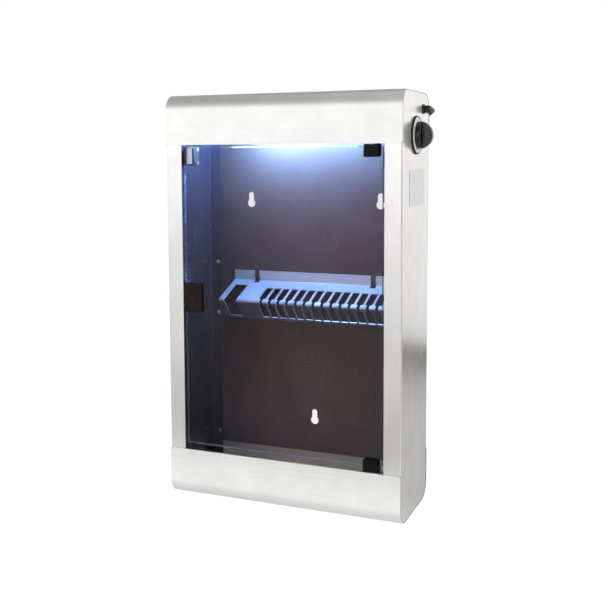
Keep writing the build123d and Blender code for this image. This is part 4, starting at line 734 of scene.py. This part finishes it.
# The door pane: 5 mm toughened glass with a smoked tint. Its faces are clear and reflect, and
# its ground and polished edges look paler, because they gather light from inside the glass.
def smoked_glass(name, edge):
    """Tinted sheet glass as thin layers: light passes straight on, coloured by the tint, and a
    share by Fresnel's law is reflected. A face has a film of dust, and a ground edge scatters."""
    made, tree, place = start_material(name)
    clear = node(tree, "BsdfTransparent", {"Color": linear("#F4F2F4")})
    mirror = node(tree, "BsdfGlossy", {"Color": (1, 1, 1, 1), "Roughness": 0.03})
    share = node(tree, "Fresnel", {"IOR": 1.15})
    layer = node(tree, "MixShader", {0: share, 1: clear, 2: mirror})
    if edge:
        paleness = 0.45
        scatter = node(
            tree,
            "BsdfPrincipled",
            {
                "Base Color": linear("#93A6BE"),
                "Roughness": 0.25,
                "IOR": 1.5,
                "Transmission Weight": 0.35,
            },
        )
    else:
        haze = node(tree, "TexNoise", {"Vector": place, "Scale": 14.0, "Detail": 5.0})
        film = {"Value": haze, "From Min": 0.4, "From Max": 0.75, "To Max": 0.006}
        paleness = node(tree, "MapRange", film)
        scatter = node(tree, "BsdfDiffuse", {"Color": linear("#C8C8D0")})
    whole = node(tree, "MixShader", {0: paleness, 1: layer, 2: scatter})
    node(tree, "OutputMaterial", {"Surface": whole})
    return made


def outline(width, height, radius, steps=6):
    """A rectangle's outline with round corners, anticlockwise from the lower right: quarter
    circles joined by its sides."""
    turns = np.linspace(0, np.pi / 2, steps)
    rows = []
    for quarter, (sx, sz) in enumerate(((1, -1), (1, 1), (-1, 1), (-1, -1))):
        angle = turns + (quarter - 1) * np.pi / 2
        across = sx * (width / 2 - radius) + radius * np.cos(angle)
        upward = sz * (height / 2 - radius) + radius * np.sin(angle)
        rows.append(np.stack([across, upward], axis=-1))
    return np.vstack(rows)


def slab(name, centre, width, height, thickness, radius, chamfer, normal_axis=1):
    """A flat plate: its outline is carried through the thickness, drawn in by the chamfer at both
    faces, and each face is closed to its middle line."""
    full = outline(width, height, radius)
    middle_line = np.zeros_like(full)
    middle_line[:, 1] = np.clip(full[:, 1], -(height / 2 - radius), height / 2 - radius)
    small_radius = max(radius - chamfer, 0.0002)
    drawn_in = outline(width - 2 * chamfer, height - 2 * chamfer, small_radius)
    bevel = chamfer / thickness
    rings = []
    for depth, flat in (
        (-0.5, middle_line),
        (-0.5, drawn_in),
        (-0.5 + bevel, full),
        (0.5 - bevel, full),
        (0.5, drawn_in),
        (0.5, middle_line),
    ):
        through = np.full(len(flat), depth * thickness)
        if normal_axis == 1:
            ring = np.stack([flat[:, 0], through, flat[:, 1]], axis=-1)
        else:
            ring = np.stack([through, -flat[:, 0], flat[:, 1]], axis=-1)
        rings.append(ring + np.array(centre))
    made = grid_mesh(name, np.array(rings), closed=True)
    sharp = np.zeros(len(made.data.polygons), dtype=bool)
    made.data.polygons.foreach_set("use_smooth", sharp)
    return made


pane_low, pane_high = (np.array(c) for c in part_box("door_pane"))
pane_width, pane_thickness, pane_height = pane_high - pane_low
pane_centre = (pane_low + pane_high) / 2
pane = slab("door_glass", pane_centre, pane_width, pane_height, pane_thickness, 0.002, 0.0007)
pane.data.materials.append(smoked_glass("smoked toughened glass", edge=False))
pane.data.materials.append(smoked_glass("ground glass edge", edge=True))
face, ground = 0, 1
bands = [face, ground, ground, ground, face]
pane.data.polygons.foreach_set("material_index", np.repeat(bands, len(outline(1, 1, 0.1))))
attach(pane, "door")
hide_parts("door_pane")


# Hinge clamps: zinc castings with a satin black coat. Pads of black rubber grip the glass,
# and a steel pin stands in a natural nylon bush in each welded bracket.
clamp_coat = rough_black("black coated zinc", "#050505", 0.4, 1.1, 0.03, 0.12)
pad_rubber = rough_black("black rubber pad", "#070707", 0.7, 0.8, 0.03, 0.15)
bright_steel = plain_metal("turned bright steel", "#C9CACC", 0.3)
plated_steel = plain_metal("zinc-plated steel", "#BEC3C8", 0.36, tarnish="#A9A48F")
finish_solid(["top_hinge_clamp", "bottom_hinge_clamp"], clamp_coat)
finish_solid(["clamp_pads", "edge_bumper"], pad_rubber)
finish_solid(["top_pivot_pin", "bottom_pivot_pin"], bright_steel)
finish_solid(["clamp_screws", "strike_screw", "lever_pin"], bright_steel)
finish_solid(["top_pivot_bracket", "bottom_pivot_bracket"], plated_steel)


def moulded(name, hex_colour, roughness, translucency=0.0):
    """Moulded light plastic: a fine spark-eroded grain as bump, a faint change of tone, and some
    light let in under the skin."""
    made, tree, place = start_material(name)
    grain = node(tree, "TexNoise", {"Vector": place, "Scale": 1400.0, "Detail": 2.0})
    cloud = node(tree, "TexNoise", {"Vector": place, "Scale": 45.0, "Detail": 4.0})
    base = linear(hex_colour)
    darker = tuple(c * 0.86 for c in base[:3]) + (1.0,)
    tone = node(tree, "Mix", {0: cloud, 6: darker, 7: base}, data_type="RGBA")
    bump = node(tree, "Bump", {"Height": grain, "Strength": 0.3, "Distance": 0.00003})
    skin = node(
        tree,
        "BsdfPrincipled",
        {
            "Base Color": tone.outputs[2],
            "Roughness": roughness,
            "IOR": 1.5,
            "Subsurface Weight": translucency,
            "Subsurface Scale": 0.001,
            "Normal": bump,
        },
    )
    node(tree, "OutputMaterial", {"Surface": skin})
    return made


bush_nylon = moulded("natural nylon", "#E6E3D6", 0.45, 0.3)
finish_solid(["top_pivot_bush", "bottom_pivot_bush"], bush_nylon)


# Strike clip and magnetic catch: the clip is dark bronzed steel pushed over the pane's free edge.
# Behind it a brown plastic case holds a magnet between two ground steel poles.
finish_solid(["strike_clip"], plain_metal("bronzed dark steel", "#2A2423", 0.34, tarnish="#46393A"))
finish_solid(["catch_case"], moulded("brown ABS catch case", "#3A2C26", 0.42))
finish_solid(["catch_magnet"], plain_metal("ground steel poles", "#8B8C8F", 0.3))
finish_solid(["catch_bracket", "switch_bracket", "catch_screws", "switch_screws"], plated_steel)


# Door switch: a black snap switch with a stainless leaf that the closed pane holds back, and
# a red button under the leaf.
finish_solid(["switch_body"], rough_black("black phenolic switch", "#141414", 0.45, 0.8, 0.02))
leaf_steel = plain_metal("stainless spring leaf", "#E6EEF8", 0.3, metallic=0.6, tarnish="#D5DEEA")
finish_solid(["switch_lever"], leaf_steel)
finish_solid(["switch_plunger"], moulded("red acetal button", "#B3201A", 0.35))


# Lamp: a clear germicidal tube with aluminium caps, in two white holders. Lit, it glows pale
# blue, most of all left of its middle. The bright aluminium tray above throws its light down.
glow_glass, tree, place = start_material("lit germicidal glass")
arc_wave = node(tree, "TexNoise", {"Vector": place, "Scale": 40.0, "Detail": 3.0})
arc_colours = {0: arc_wave, 6: linear("#85B8FF"), 7: linear("#93C2FF")}
arc_tone = node(tree, "Mix", arc_colours, data_type="RGBA")
arc_x = node(tree, "SeparateXYZ", {0: place})
arc_off = node(tree, "Math", {0: arc_x.outputs["X"], 1: 0.07}, operation="ADD")
arc_gap = node(tree, "Math", {0: arc_off}, operation="ABSOLUTE")
arc_fall = {"Value": arc_gap, "From Max": 0.14, "To Min": 335.0, "To Max": 110.0}
arc_power = node(tree, "MapRange", arc_fall, interpolation_type="SMOOTHSTEP")
arc_light = node(tree, "Emission", {"Color": arc_tone.outputs[2], "Strength": arc_power})
gleam = node(tree, "BsdfGlossy", {"Color": (1, 1, 1, 1), "Roughness": 0.05})
lit = node(tree, "MixShader", {0: 0.06, 1: arc_light, 2: gleam})
node(tree, "OutputMaterial", {"Surface": lit})
finish_solid(["lamp_tube"], glow_glass)
finish_solid(["lamp_caps"], plain_metal("spun aluminium cap", "#C8C9CB", 0.28))
white_moulding = moulded("white polycarbonate", "#E9E8E2", 0.38, 0.1)
finish_solid(["left_lampholder", "right_lampholder", "terminal_block"], white_moulding)
tray_metal = brushed_steel("bright rolled aluminium tray", "#E4E7EA", 0, 0.26, "#C6CACE")
finish_solid(["lamp_tray"], tray_metal)
finish_solid(["tray_nuts", "gear_screws", "earth_stud"], plated_steel)
finish_solid(["ballast"], rough_black("grey painted ballast can", "#55585C", 0.5, 0.8, 0.03))
finish_solid(["wiring"], moulded("grey PVC wire", "#B9BBBE", 0.45))


# Timer: a black clockwork body inside, and outside a black rubber gasket, a silver dial plate
# with printed figures, and a black domed knob with a finger bar.
timer_y, timer_z = -0.0025, 0.5387
round_steps = 96
finish_solid(["timer_body"], rough_black("black ABS timer case", "#121213", 0.45, 0.9, 0.02))
finish_solid(["timer_shaft", "timer_screws"], bright_steel)
gasket_profile = [
    (0.0, 0.0055),
    (0.0, 0.0270),
    (0.0009, 0.0268),
    (0.0030, 0.0262),
    (0.0031, 0.0254),
    (0.0010, 0.0252),
    (0.0010, 0.0055),
]
gasket = lathe(
    "timer_gasket_ring",
    rounded(gasket_profile, 0.0004),
    (casing_half, timer_y, timer_z),
    outward,
    round_steps,
)
gasket.data.materials.append(rough_black("black rubber gasket", "#0D0D0E", 0.55, 0.8, 0.02))
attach(gasket, "casing")
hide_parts("timer_gasket")
dial_profile = [(0.0, 0.0052), (0.0, 0.0251), (0.0014, 0.0251), (0.0020, 0.0244), (0.0020, 0.0052)]
dial = lathe(
    "timer_dial_plate",
    rounded(dial_profile, 0.0003),
    (0.181, timer_y, timer_z),
    outward,
    round_steps,
)
satin = "satin silver dial plate"
dial_satin = plain_metal(satin, "#F6F6F6", 0.45, metallic=0.0, tarnish="#EBEBEB")
dial.data.materials.append(dial_satin)
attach(dial, "casing")
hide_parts("timer_dial")

print_ink = rough_black("black dial print", "#0C0C0C", 0.5, 0.5, 0.005)
print_x = 0.18306
full_time = 60
degrees_per_minute = 5
tick_tip = 0.0241
long_tick, short_tick = (0.0226, 0.00022), (0.0232, 0.00010)
figure_radius, figure_size = 0.0209, 0.0036


def dial_place(radius, angle):
    """A point on the dial's face: angle turns clockwise from the top as the dial is read from the
    right side."""
    return timer_y + radius * math.sin(angle), timer_z + radius * math.cos(angle)


ticks = []
for minutes in range(full_time + 1):
    angle = math.radians(degrees_per_minute * minutes)
    tick_foot, half = long_tick if minutes % 5 == 0 else short_tick
    aside_y, aside_z = half * math.cos(angle), -half * math.sin(angle)
    for radius in (tick_foot, tick_tip):
        y, z = dial_place(radius, angle)
        ticks.append((print_x, y - aside_y, z - aside_z))
        ticks.append((print_x, y + aside_y, z + aside_z))
tick_mesh = bpy.data.meshes.new("dial_ticks")
tick_faces = np.arange(len(ticks)).reshape(-1, 4)[:, [0, 1, 3, 2]]
tick_mesh.from_pydata(ticks, [], tick_faces.tolist())
dial_ticks = bpy.data.objects.new("dial_ticks", tick_mesh)
scene.collection.objects.link(dial_ticks)
dial_marks = [dial_ticks]
for minutes in range(0, full_time + 1, 10):
    letters = bpy.data.curves.new("dial_figure", "FONT")
    letters.body = str(minutes)
    letters.size = figure_size
    letters.align_x = "CENTER"
    letters.align_y = "CENTER"
    letters.resolution_u = 3
    stencil = bpy.data.objects.new("dial_stencil", letters)
    scene.collection.objects.link(stencil)
    graph = bpy.context.evaluated_depsgraph_get()
    flat = bpy.data.meshes.new_from_object(stencil.evaluated_get(graph))
    bpy.data.objects.remove(stencil)
    y, z = dial_place(figure_radius, math.radians(degrees_per_minute * minutes))
    for vertex in flat.vertices:
        vertex.co = (print_x, y + vertex.co.x, z + vertex.co.y)
    figure = bpy.data.objects.new(f"dial_figure_{minutes}", flat)
    scene.collection.objects.link(figure)
    dial_marks.append(figure)
for piece in dial_marks:
    piece.data.materials.clear()
    piece.data.materials.append(print_ink)
    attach(piece, "casing")


# The knob: a round skirt that rises into a dome, cut away at both sides so that a bar is left
# for the fingers, with a white line inlaid on its rim at the top.
knob_x, knob_radius, knob_height, knob_skirt = 0.1835, 0.019, 0.0205, 0.007
knob_straight = 0.0015
dome_height = knob_height - knob_straight
knob_plastic = rough_black("glossy black phenolic knob", "#060607", 0.14, 1.2, 0.006, 0.55)


def dome(x):
    """The dome's radius at a distance x from the knob's foot: straight for 1.5 mm, then a quarter
    ellipse."""
    t = min(max((x - knob_straight) / dome_height, 0), 1)
    return knob_radius * math.sqrt(1 - t**2)


skirt_profile = [(0.0, 0.0031), (0.0, knob_radius - 0.0004), (0.0004, knob_radius)]
skirt_profile += [(x, dome(x)) for x in np.linspace(knob_straight, knob_skirt - 0.0006, 8)]
skirt_profile += [
    (knob_skirt - 0.0002, dome(knob_skirt) - 0.0003),
    (knob_skirt, dome(knob_skirt) - 0.0010),
    (knob_skirt, 0.0),
]
skirt = lathe(
    "timer_knob_skirt", skirt_profile, (knob_x, timer_y, timer_z), outward, round_steps
)
bar_half = 0.0055
edge_round = 0.0014
arc_steps = 49
arc_angle = np.linspace(-math.pi / 2, math.pi / 2, arc_steps)
edge_angle = np.linspace(0, math.pi / 2, 6)
edge_in = edge_round * (1 - np.cos(edge_angle))
edge_drop = edge_round * (1 - np.sin(edge_angle))
bar_across = [
    -bar_half,
    *(edge_in - bar_half),
    *np.linspace(-bar_half + edge_round, bar_half - edge_round, 5)[1:-1],
    *(bar_half - edge_in)[::-1],
    bar_half,
]
bar_drop = [None, *edge_drop, 0.0, 0.0, 0.0, *edge_drop[::-1], None]
bar_rings = []
for across, drop in zip(bar_across, bar_drop):
    shrink = 1.0
    if drop is None:
        shrink, drop = 0.02, 0.0
    rise = (dome_height - drop) * np.cos(arc_angle) * shrink + knob_straight
    reach = (knob_radius - drop) * np.sin(arc_angle) * shrink
    x = knob_x + np.maximum(rise, knob_skirt - 0.001)
    y = np.full(arc_steps, timer_y + across)
    bar_rings.append(np.stack([x, y, timer_z + reach], axis=-1))
bar = grid_mesh("timer_knob_bar", np.array(bar_rings))
for piece in (skirt, bar):
    piece.data.materials.append(knob_plastic)
    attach(piece, "timer_knob")
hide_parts("timer_knob")

mark_steps = 16
mark_half = 0.0006
mark_proud = 0.00006
mark_angle = np.linspace(math.radians(8), math.radians(52), mark_steps)
mark_x = knob_x + knob_straight + (dome_height + mark_proud) * np.sin(mark_angle)
mark_z = timer_z + (knob_radius + mark_proud) * np.cos(mark_angle)
mark_edges = [np.full(mark_steps, timer_y + half) for half in (-mark_half, mark_half)]
mark = np.stack([np.stack([mark_x, y, mark_z], axis=-1) for y in mark_edges])
mark = mark[:, mark_x > knob_x + knob_skirt]
pointer = grid_mesh("timer_knob_line", mark)
pointer.data.materials.append(moulded("white inlaid line", "#E8E8E4", 0.4))
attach(pointer, "timer_knob")


# A bare plate of silver foil stock, stuck on the right side panel below the timer. Its faint
# blotches are what handling leaves on it.
plate_low, plate_high = (np.array(c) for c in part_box("side_plate"))
plate_thickness, plate_width, plate_height = plate_high - plate_low
plate = slab(
    "side_foil_plate",
    (plate_low + plate_high) / 2,
    plate_width,
    plate_height,
    plate_thickness,
    radius=0.0025,
    chamfer=0.0001,
    normal_axis=0,
)
foil = plain_metal("silver foil plate", "#EBEBEC", 0.42, metallic=0.2, tarnish="#DEDFE0")
plate.data.materials.append(foil)
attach(plate, "casing")
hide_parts("side_plate")
